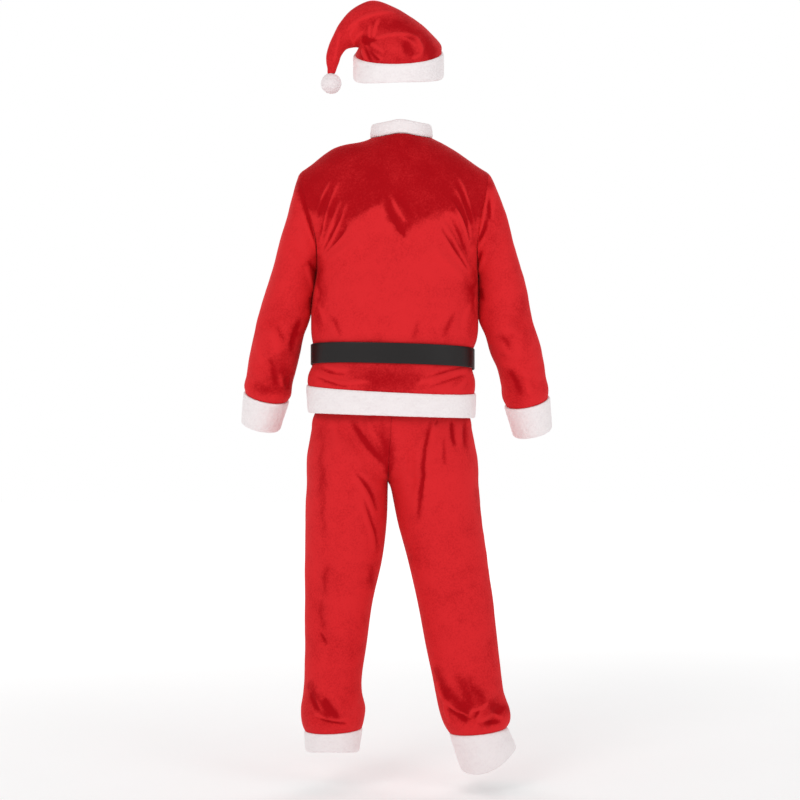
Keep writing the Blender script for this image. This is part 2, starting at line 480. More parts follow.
SLEEVE_BACK_CREASES = np.array([
    (0.215, 1.402, 0.187, 1.336, 0.001, 0.0036, 0.0032),
    (0.223, 1.356, 0.179, 1.256, 0.003, 0.0038, 0.0032),
    (0.217, 1.386, 0.181, 1.262, 0.004, 0.0036, -0.0036),
    (0.226, 1.428, 0.212, 1.350, -0.001, 0.0046, -0.0026),
    (0.212, 1.228, 0.198, 1.166, 0.001, 0.0040, 0.0030),
    (0.205, 1.242, 0.186, 1.200, 0.001, 0.0046, -0.0026),
    (0.206, 1.160, 0.192, 1.118, 0.000, 0.0050, -0.0028),
    (0.212, 1.128, 0.204, 1.104, 0.001, 0.0040, 0.0024),
    (0.224, 1.110, 0.250, 1.030, 0.003, 0.0060, -0.0030),
    (0.304, 1.082, 0.276, 1.026, -0.004, 0.0060, 0.0024),
    (0.292, 1.088, 0.262, 1.050, -0.002, 0.0050, -0.0020),
    (0.330, 1.064, 0.318, 0.996, 0.002, 0.0060, 0.0020),
    (0.300, 1.016, 0.284, 0.950, -0.002, 0.0060, -0.0022),
    (0.262, 0.972, 0.258, 0.940, 0.000, 0.0040, -0.0034),
    (0.276, 0.980, 0.270, 0.944, 0.000, 0.0046, 0.0024),
    (-0.210, 1.404, -0.175, 1.276, -0.004, 0.0038, 0.0034),
    (-0.215, 1.380, -0.212, 1.336, 0.000, 0.0044, -0.0034),
    (-0.204, 1.338, -0.185, 1.284, -0.002, 0.0038, -0.0034),
    (-0.202, 1.298, -0.174, 1.254, -0.002, 0.0036, 0.0032),
    (-0.202, 1.250, -0.182, 1.206, -0.001, 0.0036, 0.0032),
    (-0.196, 1.264, -0.182, 1.232, -0.001, 0.0040, -0.0028),
    (-0.226, 1.410, -0.214, 1.330, -0.002, 0.0050, 0.0022),
    (-0.190, 1.186, -0.200, 1.146, 0.001, 0.0050, -0.0022),
    (-0.228, 1.070, -0.262, 1.036, -0.003, 0.0070, -0.0020),
    (-0.240, 1.050, -0.280, 1.010, 0.003, 0.0070, 0.0018),
    (-0.262, 0.990, -0.290, 0.930, 0.003, 0.0060, -0.0024),
    (-0.290, 0.984, -0.312, 0.930, -0.002, 0.0060, 0.0020),
])
SLEEVE_FRONT_CREASES = np.array([
    (0.218, 1.392, 0.186, 1.270, 0.004, 0.0046, 0.0030),
    (0.228, 1.350, 0.190, 1.262, 0.003, 0.0046, -0.0030),
    (0.216, 1.130, 0.280, 1.092, 0.004, 0.0060, -0.0032),
    (0.226, 1.106, 0.300, 1.066, 0.004, 0.0060, 0.0028),
    (0.238, 1.070, 0.310, 1.050, -0.004, 0.0060, -0.0028),
    (0.262, 0.980, 0.330, 0.962, 0.002, 0.0050, 0.0024),
    (-0.212, 1.390, -0.178, 1.266, -0.004, 0.0046, 0.0030),
    (-0.222, 1.340, -0.186, 1.250, -0.003, 0.0046, -0.0030),
    (-0.206, 1.136, -0.262, 1.088, -0.004, 0.0060, -0.0032),
    (-0.218, 1.104, -0.280, 1.072, -0.004, 0.0060, 0.0028),
    (-0.230, 1.066, -0.300, 1.040, 0.004, 0.0060, -0.0026),
    (-0.262, 0.974, -0.320, 0.950, -0.002, 0.0050, 0.0024),
])

HAT_CREASES = np.array([
    (0.120, 1.774, 0.004, 1.816, -0.014, 0.0038, 0.0036),
    (0.136, 1.776, 0.150, 1.700, -0.003, 0.0036, 0.0026),
    (0.092, 1.790, 0.111, 1.762, 0.001, 0.0036, 0.0028),
    (0.111, 1.766, 0.100, 1.744, -0.001, 0.0034, 0.0026),
    (0.078, 1.772, 0.104, 1.745, 0.002, 0.0034, 0.0026),
    (0.039, 1.802, 0.057, 1.754, 0.002, 0.0042, 0.0036),
    (0.061, 1.788, 0.066, 1.754, 0.001, 0.0034, 0.0024),
    (0.054, 1.752, -0.044, 1.758, -0.004, 0.0036, 0.0034),
    (-0.040, 1.760, -0.054, 1.712, -0.007, 0.0042, 0.0034),
    (-0.054, 1.716, -0.030, 1.704, -0.002, 0.0036, 0.0024),
    (-0.004, 1.752, -0.044, 1.732, -0.004, 0.0034, 0.0022),
    (0.074, 1.740, 0.033, 1.700, 0.002, 0.0034, 0.0032),
    (0.082, 1.736, 0.070, 1.700, 0.001, 0.0034, 0.0032),
    (0.072, 1.746, 0.030, 1.716, -0.003, 0.0032, 0.0030),
    (0.070, 1.738, 0.042, 1.700, 0.001, 0.0036, -0.0036),
    (0.078, 1.738, 0.061, 1.700, 0.001, 0.0032, -0.0032),
    (0.084, 1.762, 0.062, 1.738, 0.000, 0.0060, -0.0034),
    (-0.016, 1.746, -0.022, 1.708, 0.001, 0.0060, -0.0020),
])

# Nap that lies darker (positive) or lighter (negative), in the creases' columns.
YOKE = np.array([       # lower edge of the darker nap on the back: x, height
    (-0.200, 1.340), (-0.176, 1.330), (-0.160, 1.320), (-0.142, 1.340), (-0.119, 1.357),
    (-0.092, 1.341), (-0.066, 1.336), (-0.040, 1.323), (-0.016, 1.291), (0.002, 1.306),
    (0.015, 1.325), (0.037, 1.370), (0.066, 1.347), (0.094, 1.342), (0.118, 1.325),
    (0.147, 1.330), (0.170, 1.345), (0.200, 1.350),
])
YOKE_DARK = 0.95
YOKE_EDGE = (0.014, 0.030)      # height below the edge at which the dark begins, and its rise
YOKE_TURNED = 0.4
FRONT_NAP = 0.25
JACKET_BACK_NAP = np.array([
    (0.152, 1.392, 0.182, 1.262, 0.006, 0.015, 0.85),
    (0.122, 1.335, 0.170, 1.250, 0.000, 0.011, 0.70),
    (-0.134, 1.392, -0.174, 1.268, -0.006, 0.015, 0.85),
    (-0.106, 1.326, -0.166, 1.222, 0.000, 0.012, 0.75),
    (0.178, 1.280, 0.184, 1.050, -0.004, 0.012, 0.55),
    (0.186, 1.262, 0.190, 1.110, -0.003, 0.005, 0.60),
    (-0.174, 1.260, -0.172, 1.050, 0.004, 0.012, 0.50),
    (-0.177, 1.230, -0.179, 1.100, 0.003, 0.005, 0.60),
    (0.017, 1.384, -0.024, 1.318, 0.002, 0.005, -0.30),
    (0.132, 0.972, -0.076, 0.966, 0.002, 0.036, 0.92),
    (0.196, 0.996, 0.130, 0.990, 0.002, 0.008, 0.30),
    (-0.120, 0.960, -0.170, 0.950, 0.000, 0.010, 0.35),
])
TROUSER_BACK_NAP = np.array([
    (0.177, 0.880, 0.168, 0.560, 0.002, 0.0085, 0.50),
    (0.168, 0.540, 0.174, 0.456, 0.001, 0.0085, 0.55),
    (0.184, 0.452, 0.173, 0.382, 0.001, 0.0090, 0.62),
    (0.108, 0.878, 0.024, 0.764, 0.003, 0.0080, 0.70),
    (0.072, 0.878, 0.026, 0.790, 0.000, 0.0130, 0.80),
    (0.034, 0.878, 0.023, 0.735, 0.000, 0.0100, 0.70),
    (0.024, 0.772, 0.022, 0.730, 0.000, 0.0070, 0.90),
    (0.014, 0.860, 0.018, 0.735, 0.000, 0.0080, 0.45),
    (0.066, 0.540, 0.058, 0.470, 0.001, 0.0100, 0.60),
    (0.206, 0.270, 0.184, 0.190, 0.002, 0.0120, 0.75),
    (0.188, 0.232, 0.160, 0.180, 0.002, 0.0130, 0.70),
    (0.172, 0.226, 0.134, 0.168, 0.002, 0.0110, 0.75),
    (-0.076, 0.880, -0.046, 0.630, 0.003, 0.0070, 0.50),
    (-0.124, 0.880, -0.132, 0.800, 0.001, 0.0060, 0.50),
    (-0.157, 0.880, -0.158, 0.790, 0.001, 0.0080, 0.35),
    (-0.182, 0.780, -0.196, 0.600, -0.002, 0.0080, 0.35),
    (-0.088, 0.300, -0.120, 0.216, 0.001, 0.0110, 0.75),
    (-0.110, 0.250, -0.170, 0.168, -0.001, 0.0140, 0.85),
    (-0.136, 0.286, -0.172, 0.200, 0.000, 0.0120, 0.70),
    (-0.160, 0.276, -0.206, 0.206, 0.001, 0.0120, 0.75),
    (-0.208, 0.216, -0.268, 0.188, 0.002, 0.0120, 0.85),
    (-0.180, 0.166, -0.250, 0.170, 0.000, 0.0080, 0.70),
    (-0.118, 0.204, -0.250, 0.192, 0.000, 0.0220, 0.45),
])
TROUSER_FRONT_NAP = np.array([
    (0.182, 0.860, 0.168, 0.600, 0.002, 0.0110, 0.40),
    (0.100, 0.850, 0.024, 0.760, 0.003, 0.0120, 0.60),
    (-0.076, 0.850, -0.006, 0.760, -0.003, 0.0120, 0.60),
    (0.150, 0.520, 0.160, 0.440, 0.004, 0.0200, 0.40),
    (-0.130, 0.520, -0.138, 0.440, -0.004, 0.0200, 0.40),
    (0.206, 0.260, 0.140, 0.170, 0.003, 0.0150, 0.60),
    (-0.110, 0.260, -0.170, 0.176, -0.003, 0.0150, 0.60),
    (-0.190, 0.240, -0.262, 0.186, 0.003, 0.0140, 0.60),
])
SLEEVE_NAP = np.array([
    (0.236, 1.444, 0.214, 1.376, -0.002, 0.0140, 0.75),
    (0.212, 1.436, 0.196, 1.330, 0.000, 0.0160, 0.85),
    (0.204, 1.350, 0.182, 1.270, 0.002, 0.0090, 0.50),
    (0.200, 1.260, 0.188, 1.110, 0.000, 0.0100, 0.45),
    (0.230, 1.104, 0.252, 1.020, 0.003, 0.0110, 0.65),
    (0.256, 1.038, 0.300, 0.930, 0.000, 0.0250, 0.70),
    (0.250, 0.990, 0.280, 0.920, 0.000, 0.0200, 0.50),
    (0.345, 0.960, 0.290, 0.924, 0.000, 0.0120, 0.60),
    (-0.232, 1.444, -0.210, 1.400, 0.002, 0.0120, 0.60),
    (-0.200, 1.430, -0.188, 1.340, 0.000, 0.0120, 0.70),
    (-0.214, 1.396, -0.212, 1.330, 0.000, 0.0060, 0.50),
    (-0.204, 1.350, -0.184, 1.278, -0.002, 0.0060, 0.45),
    (-0.186, 1.260, -0.188, 1.120, 0.000, 0.0090, 0.50),
    (-0.282, 1.166, -0.296, 1.100, 0.000, 0.0150, 0.28),
    (-0.266, 1.072, -0.246, 1.004, 0.000, 0.0140, 0.34),
    (-0.300, 1.090, -0.300, 0.990, 0.000, 0.0120, 0.24),
    (-0.258, 1.006, -0.296, 0.910, 0.002, 0.0240, 0.42),
])
HAT_NAP = np.array([
    (0.084, 1.750, 0.062, 1.744, 0.000, 0.0070, 0.90),
    (0.064, 1.750, 0.048, 1.746, 0.000, 0.0050, 0.80),
    (0.070, 1.790, -0.020, 1.780, 0.000, 0.0160, 0.45),
    (0.010, 1.800, -0.070, 1.752, 0.004, 0.0160, 0.75),
    (-0.068, 1.760, -0.080, 1.700, 0.000, 0.0110, 0.85),
    (-0.026, 1.750, -0.030, 1.708, 0.001, 0.0070, 0.55),
    (0.094, 1.732, 0.080, 1.704, 0.002, 0.0080, 0.55),
    (0.064, 1.736, 0.044, 1.702, 0.001, 0.0060, 0.45),
    (0.034, 1.730, -0.014, 1.726, 0.000, 0.0180, -0.40),
    (-0.040, 1.748, -0.046, 1.716, 0.000, 0.0060, -0.40),
    (0.070, 1.818, -0.010, 1.832, -0.004, 0.0100, -0.25),
    (0.100, 1.778, 0.086, 1.752, 0.000, 0.0100, -0.20),
])
HAT_EVEN_NAP = 0.42


class SuitSizes(PropertyGroup):
    """Sizes of the finer work on the suit."""

    wall: FloatProperty(
        name="Velvet", description="Thickness of the red cloth", default=0.002, unit="LENGTH"
    )
    plush_wall: FloatProperty(
        name="Plush", description="Thickness of the white plush", default=0.007, unit="LENGTH"
    )
    pile: FloatProperty(
        name="Pile", description="How far the plush's tufts stand out", default=0.0022, unit="LENGTH"
    )
    crease: FloatProperty(
        name="Creases", description="Depth of the fine creases as a share", default=1.0,
        subtype="FACTOR", min=0.0, max=2.0,
    )
    cell: FloatProperty(
        name="Cell", description="Spacing of the velvet's points", default=0.0045, unit="LENGTH"
    )
    plush_cell: FloatProperty(
        name="Plush cell", description="Spacing of the plush's points", default=0.0020, unit="LENGTH"
    )


class SuitColours(PropertyGroup):
    """Colours of the finishes, linear."""

    velvet: FloatVectorProperty(
        name="Velvet", description="Velvet with the nap towards the light", subtype="COLOR",
        size=4, default=(0.735, 0.022, 0.027, 1.0),
    )
    velvet_deep: FloatVectorProperty(
        name="Velvet, deep", description="Velvet with the nap away from the light", subtype="COLOR",
        size=4, default=(0.42, 0.002, 0.006, 1.0),
    )
    plush: FloatVectorProperty(
        name="Plush", description="White plush", subtype="COLOR",
        size=4, default=(0.96, 0.895, 0.90, 1.0),
    )
    belt: FloatVectorProperty(
        name="Belt", description="Black leather", subtype="COLOR",
        size=4, default=(0.011, 0.009, 0.009, 1.0),
    )
    brass: FloatVectorProperty(
        name="Brass", description="Buckle's metal", subtype="COLOR",
        size=4, default=(0.72, 0.52, 0.20, 1.0),
    )


class SuitStage(PropertyGroup):
    """The floor, the lights and the camera."""

    distance: FloatProperty(
        name="Distance", description="Camera to suit", default=5.0, unit="LENGTH"
    )
    view_width: FloatProperty(
        name="View", description="Width that the camera takes in at the suit", default=1.88,
        unit="LENGTH",
    )
    eye_height: FloatProperty(
        name="Eye height", description="Camera above the floor", default=1.05, unit="LENGTH"
    )
    key: FloatProperty(
        name="Key light", description="Power of the main light", default=53.0, unit="POWER"
    )
    fill: FloatProperty(
        name="Fill", description="Strength of the even light from all round", default=0.60
    )
    floor_glow: FloatProperty(
        name="Floor glow", description="Light that the floor gives far out, so it meets the sky",
        default=0.50,
    )


def ease(share):
    """Smooth step from 0 to 1: 3 s squared less 2 s cubed."""
    share = np.clip(share, 0.0, 1.0)
    return share * share * (3.0 - 2.0 * share)


def hermite(start, start_slope, end, end_slope, share):
    """Cubic from start to end that leaves and arrives with the slopes given."""
    square, cube = share**2, share**3
    return (
        (2 * cube - 3 * square + 1) * start
        + (cube - 2 * square + share) * start_slope
        + (3 * square - 2 * cube) * end
        + (cube - square) * end_slope
    )


def row_at(table, row):
    """The columns of a table at a row number with a fraction, on a smooth curve through its rows."""
    low = np.clip(np.floor(row), 0, len(table) - 2).astype(int)
    slope = np.gradient(table, axis=0)
    share = (row - low)[..., None]
    values = hermite(table[low], slope[low], table[low + 1], slope[low + 1], share)
    return np.moveaxis(values, -1, 0)


def unit(vectors):
    """Vectors divided by their length."""
    return vectors / np.maximum(np.linalg.norm(vectors, axis=-1, keepdims=True), 1e-12)


def normals(surface, u, v, turn):
    """Outward direction: the cross product of the slopes along both parameters."""
    along_u = surface(u + STEP, v) - surface(u - STEP, v)
    along_v = surface(u, v + STEP) - surface(u, v - STEP)
    return turn * unit(np.cross(along_v, along_u))


CELL_MIX = (374761393, 668265263, 2147483647)   # large odd numbers, one for each axis
SEED_MIX = 974634777
BIT_MIX = 1274126177
WORD = 0xFFFFFFFF       # the lowest 32 bits


def lattice_value(cell, seed):
    """A repeatable number from -1 to 1 for each whole-number cell, by mixing its bits."""
    mixed = cell[..., 0] * CELL_MIX[0] + cell[..., 1] * CELL_MIX[1] + cell[..., 2] * CELL_MIX[2]
    mixed = (mixed + seed * SEED_MIX) & WORD
    mixed = ((mixed ^ (mixed >> 13)) * BIT_MIX) & WORD
    mixed = mixed ^ (mixed >> 16)
    return (mixed & 0xFFFFFF) / float(0x7FFFFF) - 1.0


def noise(points, size, seed):
    """Smooth noise from -1 to 1: values at the corners of cells of a size, blended with ease."""
    scaled = points / size
    low = np.floor(scaled).astype(np.int64)
    share = ease(scaled - low)
    total = 0.0
    for corner in np.ndindex(2, 2, 2):
        weight = np.prod(np.where(np.array(corner) == 1, share, 1.0 - share), axis=-1)
        total = total + weight * lattice_value(low + np.array(corner), seed)
    return total


def bell(distance, reach):
    """1 at no distance, falling to 1/e at the reach: e to the power of less its square."""
    return np.exp(-((distance / reach) ** 2))


def along_and_across(points, x0, height0, x1, height1):
    """For a line seen square on: share of the way along it, from 0 to 1, and distance across it."""
    x, height = points[..., 0] - x0, points[..., 2] - FLOOR - height0
    run = math.hypot(x1 - x0, height1 - height0)
    way_x, way_z = (x1 - x0) / run, (height1 - height0) / run
    return np.clip((x * way_x + height * way_z) / run, 0.0, 1.0), height * way_x - x * way_z


def relief(points, folds):
    """How far folds lift the cloth: along each one a bell across it that fades at its ends."""
    total = np.zeros_like(points[..., 0])
    for *line, spread, depth in folds:
        along, across = along_and_across(points, *line)
        total += FOLD_FULLNESS * depth * bell(across, spread) * np.sin(math.pi * along)
    return total


def strokes(points, lines):
    """Sum of curved strokes seen square on: a bell across each, fading at its ends."""
    total = np.zeros_like(points[..., 0])
    for *line, bend, spread, value in lines:
        along, across = along_and_across(points, *line)
        bow = bend * 4.0 * along * (1.0 - along)
        total += value * bell(across - bow, spread) * np.sin(math.pi * along) ** STROKE_FADE
    return total


def wandering(points, far, size, seed):
    """Points moved by noise, so that strokes laid on them wander."""
    shift = np.stack([noise(points, size, seed + added) for added in WANDER_SEEDS], -1)
    return points + far * shift


def resting(surface, side):
    """A sleeve's surface, fuller where it rests against the jacket's side and drawn in at its outer
    edge."""
    which = 0 if side > 0 else 1

    def moved(around, row):
        points = surface(around, row)
        height = points[..., 2] - FLOOR
        inward = 0.5 + 0.5 * np.cos(2.0 * math.pi * around)
        at, reach, full = SLEEVE_REST[which]
        rest = full * bell(height - at, reach) * inward**6
        at, reach, full = SLEEVE_PUFF[which]
        puff = full * bell(height - at, reach) * (1.0 - inward) ** 2
        points[..., 0] += side * (puff - rest)
        return points
    return moved


def on_faces(kind, points, out, back, front, turned):
    """Strokes or relief of the back where the cloth faces back, and the front's where it faces
    front, fully from a share of the outward direction on."""
    back = kind(points, back) * ease(out[..., 1] / turned)
    return back + kind(points, front) * ease(-out[..., 1] / turned)


def folded(surface, turn, back_folds, front_folds):
    """The surface with its large folds, which die away towards the sides."""
    def moved(u, v):
        points = surface(u, v)
        out = normals(surface, u, v, turn)
        lift = on_faces(relief, points, out, back_folds, front_folds, FOLD_TURNED)
        return points + out * lift[..., None]
    return moved


def oval(angle, half_width, back, front, power):
    """Offsets to a rounded oval's edge at an angle turned from +Y towards +X."""
    sine, cosine = np.sin(angle), np.cos(angle)
    depth = np.where(cosine > 0, back, front)
    sum_of_powers = np.abs(sine / half_width) ** power + np.abs(cosine / depth) ** power
    reach = sum_of_powers ** (-1.0 / power)
    return reach * sine, reach * cosine


def from_middle(angle):
    """Degrees from the middle of the back or the front, the side as 1 or -1, and which is behind."""
    turned = np.abs((angle + 180.0) % 360.0 - 180.0)
    side = np.where((angle + 360.0) % 360.0 <= 180.0, 1.0, -1.0)
    behind = turned <= 90.0
    return np.where(behind, turned, 180.0 - turned), side, behind


def shoulder_line(angle):
    """The ridge over the shoulders that both sides rise to. Its x is a parabola in the angle
    through the neck's side and the shoulder's tip, and its height falls with x from a rounded
    middle, which is raised behind and lowered in front."""
    short, side, behind = from_middle(angle)
    spread = (short - NECK_ANGLE) / (TIP_ANGLE - NECK_ANGLE)
    near, far = NECK_HALF_WIDTH / NECK_ANGLE, SHOULDER_TIP[0] / TIP_ANGLE
    x = short * (near + (far - near) * spread)
    fall = math.hypot(SHOULDER_TIP[0], RIDGE_ROUND) - math.hypot(NECK_HALF_WIDTH, RIDGE_ROUND)
    down = (np.hypot(x, RIDGE_ROUND) - math.hypot(NECK_HALF_WIDTH, RIDGE_ROUND)) / fall
    height = NECK_SIDE_HEIGHT - (NECK_SIDE_HEIGHT - SHOULDER_TIP[1]) * down
    within = np.maximum(1.0 - (x / NECK_HALF_WIDTH) ** 2, 0.0) ** RIDGE_LIFT_POWER
    height += np.where(behind, RIDGE_LIFT[0], RIDGE_LIFT[1]) * within
    full = np.where(side > 0, SHOULDER_LIFT[0], SHOULDER_LIFT[1])
    height += full * np.sin(math.pi * np.clip(spread, 0.0, 1.0)) ** 2
    x = side * x + NECK_X + (SHOULDER_X - NECK_X) * ease(spread)
    return np.stack([x, 0.0 * x, height + FLOOR], -1)


def section_at(angle, sizes):
    """The jacket's level section at an angle, from sizes in the order of BODY's columns."""
    height, width, back, front, centre, tilt_x, tilt_y = sizes
    x, y = oval(np.radians(angle), width, back, front, BODY_POWER)
    return np.stack([centre + x, y, height + tilt_x * x + tilt_y * y + FLOOR], -1)


def rising(angle, rise):
    """From the underarm's oval to the ridge: a cubic that leaves upright and arrives level."""
    low = section_at(angle, BODY[-1])
    top = shoulder_line(angle)
    reach = np.linalg.norm(top - low, axis=-1, keepdims=True)
    inward = np.where(from_middle(angle)[2], -1.0, 1.0)[..., None] * np.array([0.0, 1.0, 0.0])
    up = BODY_PULL[0] * reach * np.array([0.0, 0.0, 1.0])
    return hermite(low, up, top, BODY_PULL[1] * reach * inward, rise[..., None])


def neck_cut(angle):
    """Share of the rise at which the neckline's oval cuts the cloth, found by halving."""
    short, _, behind = from_middle(angle)
    depth = np.where(behind, NECK_DEPTH[0], NECK_DEPTH[1])
    low, high = 0.0 * angle, 1.0 + 0.0 * angle
    for _ in range(NECK_HALVINGS):
        middle = (low + high) / 2
        x, y, _ = np.moveaxis(rising(angle, middle), -1, 0)
        outside = ((x - NECK_X) / NECK_HALF_WIDTH) ** 2 + (y / depth) ** 2 > 1.0
        low, high = np.where(outside, middle, low), np.where(outside, high, middle)
    return np.where(short < NECK_ANGLE, high, 1.0)


CUT_ANGLES = np.linspace(-360.0, 360.0, NECK_SAMPLES)
CUT_SHARES = neck_cut(CUT_ANGLES)


def body(angle, row):
    """Jacket body at an angle in degrees from the middle of the back towards the wearer's left,
    and a row of BODY. Over the row past the underarm it rises to the shoulder and the neckline."""
    low = section_at(angle, row_at(BODY, np.minimum(row, BODY_TOP)))
    rise = np.maximum(row - BODY_TOP, 0.0) * np.interp(angle, CUT_ANGLES, CUT_SHARES)
    return np.where(rise[..., None] > 0.0, rising(angle + 0.0 * row, rise), low)


def armhole_angle(rise):
    """How far from the middle the armhole's edge is, in degrees, at each share of the rise."""
    below = np.clip(1.0 - rise / ARMHOLE_REACH, 0.0, 1.0)
    rounded = 90.0 - (90.0 - ARMHOLE_ANGLE) * np.sqrt(1.0 - below**2)
    return rounded + (TIP_ANGLE - ARMHOLE_ANGLE) * ease((rise - ARMHOLE_REACH) / (1 - ARMHOLE_REACH))


def armhole(side, around):
    """The armhole's edge: 0 at the underarm, 0.5 at the shoulder tip, by way of the back."""
    around = np.mod(around, 1.0)
    behind = around <= 0.5
    rise = (2.0 * np.where(behind, around, 1.0 - around)) ** RISE_SPACING
    angle = armhole_angle(rise)
    angle = side * np.where(behind, angle, 180.0 - angle)
    return angle, BODY_TOP + rise


def sleeve_ring(table, side, around, row, grow=0.0):
    """A sleeve's ring at a row: an ellipse, leaning with the arm, grown in its own plane."""
    height, centre_x, centre_y, half_width, half_depth = row_at(table, row)
    turn = 2.0 * math.pi * around
    x = -side * (half_width + grow) * np.cos(turn)
    y = (half_depth + grow) * np.sin(turn)
    lean = FOREARM_TILT * ease((FOREARM_TOP[0] - height) / FOREARM_TOP[1])
    z = height + side * ARM_TILT * x - lean * y + FLOOR
    return np.stack([centre_x + x, centre_y + y, z], -1)


def sleeve(table, side, torso):
    """Sleeve: a cubic from the armhole's edge at row 0 to the first ring at row 1, then rings."""
    def surface(around, row):
        ring = sleeve_ring(table, side, around, np.maximum(row - 1.0, 0.0))
        angle, torso_row = armhole(side, around)
        start = torso(angle, torso_row)
        first = sleeve_ring(table, side, around, 0.0 * row)
        second = sleeve_ring(table, side, around, 0.0 * row + 0.5)
        reach = np.linalg.norm(first - start, axis=-1, keepdims=True)
        under = (0.5 + 0.5 * np.cos(2.0 * math.pi * around))[..., None]
        below, beside, above = SLEEVE_OUT[0 if side > 0 else 1]
        out = beside + (below - beside) * under**3 + (above - beside) * (1.0 - under) ** 3
        leave = unit((first - start) / reach + out * np.array([side, 0.0, 0.0]))
        leave = leave * reach * (SLEEVE_PULL[0] + SLEEVE_PULL[1] * under)
        arrive = unit(second - first) * reach * SLEEVE_PULL[2]
        share = np.clip(row, 0.0, 1.0)[..., None]
        return np.where(share < 1.0, hermite(start, leave, first, arrive, share), ring)
    return surface


def leg(table):
    """Trouser leg: half an ellipse from the side seam at share 0 to the inner end at share 1 round
    the back, and -1 round the front, at each row of the table."""
    side = 1.0 if table[0, 0] > 0 else -1.0

    def surface(share, row):
        side_x, side_height, inner_x, inner_height, back, front, centre_y, inner = row_at(table, row)
        inner_x = inner_x + side * SEWN / 2
        end = np.radians(np.minimum(inner, 180.0))
        half = (side_x - inner_x) / (1.0 - np.cos(end))
        angle = np.abs(share) * end
        depth = np.where(share >= 0, back, -front)
        x = side_x - half * (1.0 - np.cos(angle))
        y = centre_y + depth * np.sin(angle)
        inward = (1.0 - np.cos(angle)) / (1.0 - np.cos(end))
        z = side_height + (inner_height - side_height) * inward + FLOOR
        return np.stack([x, y, z], -1)
    return surface


def hat_surface(around, row, grow=0.0):
    """Hat crown: an ellipse between the fold's end and the outer end of each row of HAT."""
    fold_x, fold_z, outer_x, outer_z, half_depth, centre_y = row_at(HAT, row)
    turn = 2.0 * math.pi * around
    reach = 1.0 + grow / np.hypot(fold_x - outer_x, fold_z - outer_z) * 2.0
    x = (fold_x + outer_x) / 2 + (fold_x - outer_x) / 2 * reach * np.cos(turn)
    y = (half_depth + grow) * np.sin(turn)
    tilt = HAT_TILT * (1.0 - ease(row / HAT_TILT_ROWS))
    z = (fold_z + outer_z) / 2 + (fold_z - outer_z) / 2 * np.cos(turn) + tilt * y + FLOOR
    return np.stack([x, centre_y + y, z], -1)


def run_lengths(points, axis):
    """Length along the grid's lines from the first row or column to each point."""
    steps = np.linalg.norm(np.diff(points, axis=axis), axis=-1)
    start = np.zeros_like(np.take(steps, [0], axis=axis))
    return np.concatenate([start, np.cumsum(steps, axis=axis)], axis=axis)


def edge_distance(points, edges):
    """Distance of each point from the nearest named edge of its grid, along the grid's lines."""
    down, across = run_lengths(points, 0), run_lengths(points, 1)
    far = {
        "first_row": down,
        "last_row": down[-1:] - down,
        "first_column": across,
        "last_column": across[:, -1:] - across,
    }
    return np.minimum.reduce([far[edge] for edge in edges])


def grid_faces(rows, columns, ring):
    """Quads between neighbouring points of a grid, joined round when ring is true."""
    index = np.arange(rows * columns).reshape(rows, columns)
    if ring:
        index = np.hstack([index, index[:, :1]])
    return index, quads(index)


def quads(index):
    """Quads between the neighbours of a grid of point numbers."""
    return np.stack(
        [index[:-1, :-1], index[:-1, 1:], index[1:, 1:], index[1:, :-1]], -1
    ).reshape(-1, 4)


def facing_out(points, faces, face, out):
    """The faces, turned over if the given one looks against a direction."""
    corner = points[face]
    facing = np.cross(corner[1] - corner[0], corner[2] - corner[0])
    return faces[:, ::-1] if facing @ out < 0 else faces


def make_mesh(name, points, faces, slot, replaced, values=None):
    """Links a smooth mesh in its slot's finish, with one number for each point under each key."""
    mesh = bpy.data.meshes.new(name)
    mesh.vertices.add(len(points))
    mesh.vertices.foreach_set("co", np.ascontiguousarray(points, np.float32).ravel())
    corners = np.ascontiguousarray(faces, np.int32)
    mesh.loops.add(corners.size)
    mesh.loops.foreach_set("vertex_index", corners.ravel())
    mesh.polygons.add(len(corners))
    mesh.polygons.foreach_set("loop_start", np.arange(0, corners.size, corners.shape[1], np.int32))
    mesh.update(calc_edges=True)
    mesh.validate()
    for key, numbers in (values or {}).items():
        made = mesh.attributes.new(key, "FLOAT", "POINT")
        made.data.foreach_set("value", numbers.astype(np.float32))
    mesh.shade_smooth()
    mesh.materials.append(finish_of(slot))
    piece = bpy.data.objects.new(name, mesh)
    bpy.context.scene.collection.objects.link(piece)
    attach(piece, "root")
    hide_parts(*replaced)
    return piece


def close_wall(outer, inner, out, ring):
    """Points and faces of a closed wall between two grids, with rims, wound to face out."""
    rows, columns = outer.shape[:2]
    count = rows * columns
    index, near = grid_faces(rows, columns, ring)
    rims = [index[0], index[-1]] if ring else [index[0], index[-1], index[:, 0], index[:, -1]]
    ways = [1, -1] if ring else [1, -1, -1, 1]
    strips = []
    for rim, way in zip(rims, ways):
        strip = np.stack([rim[:-1], rim[:-1] + count, rim[1:] + count, rim[1:]], -1)
        strips.append(strip[:, ::way])
    faces = np.vstack([near, near[:, ::-1] + count] + strips)
    points = np.vstack([outer.reshape(-1, 3), inner.reshape(-1, 3)])
    face = near[len(near) // 2]
    return points, facing_out(points, faces, face, out.reshape(-1, 3)[face[0]])


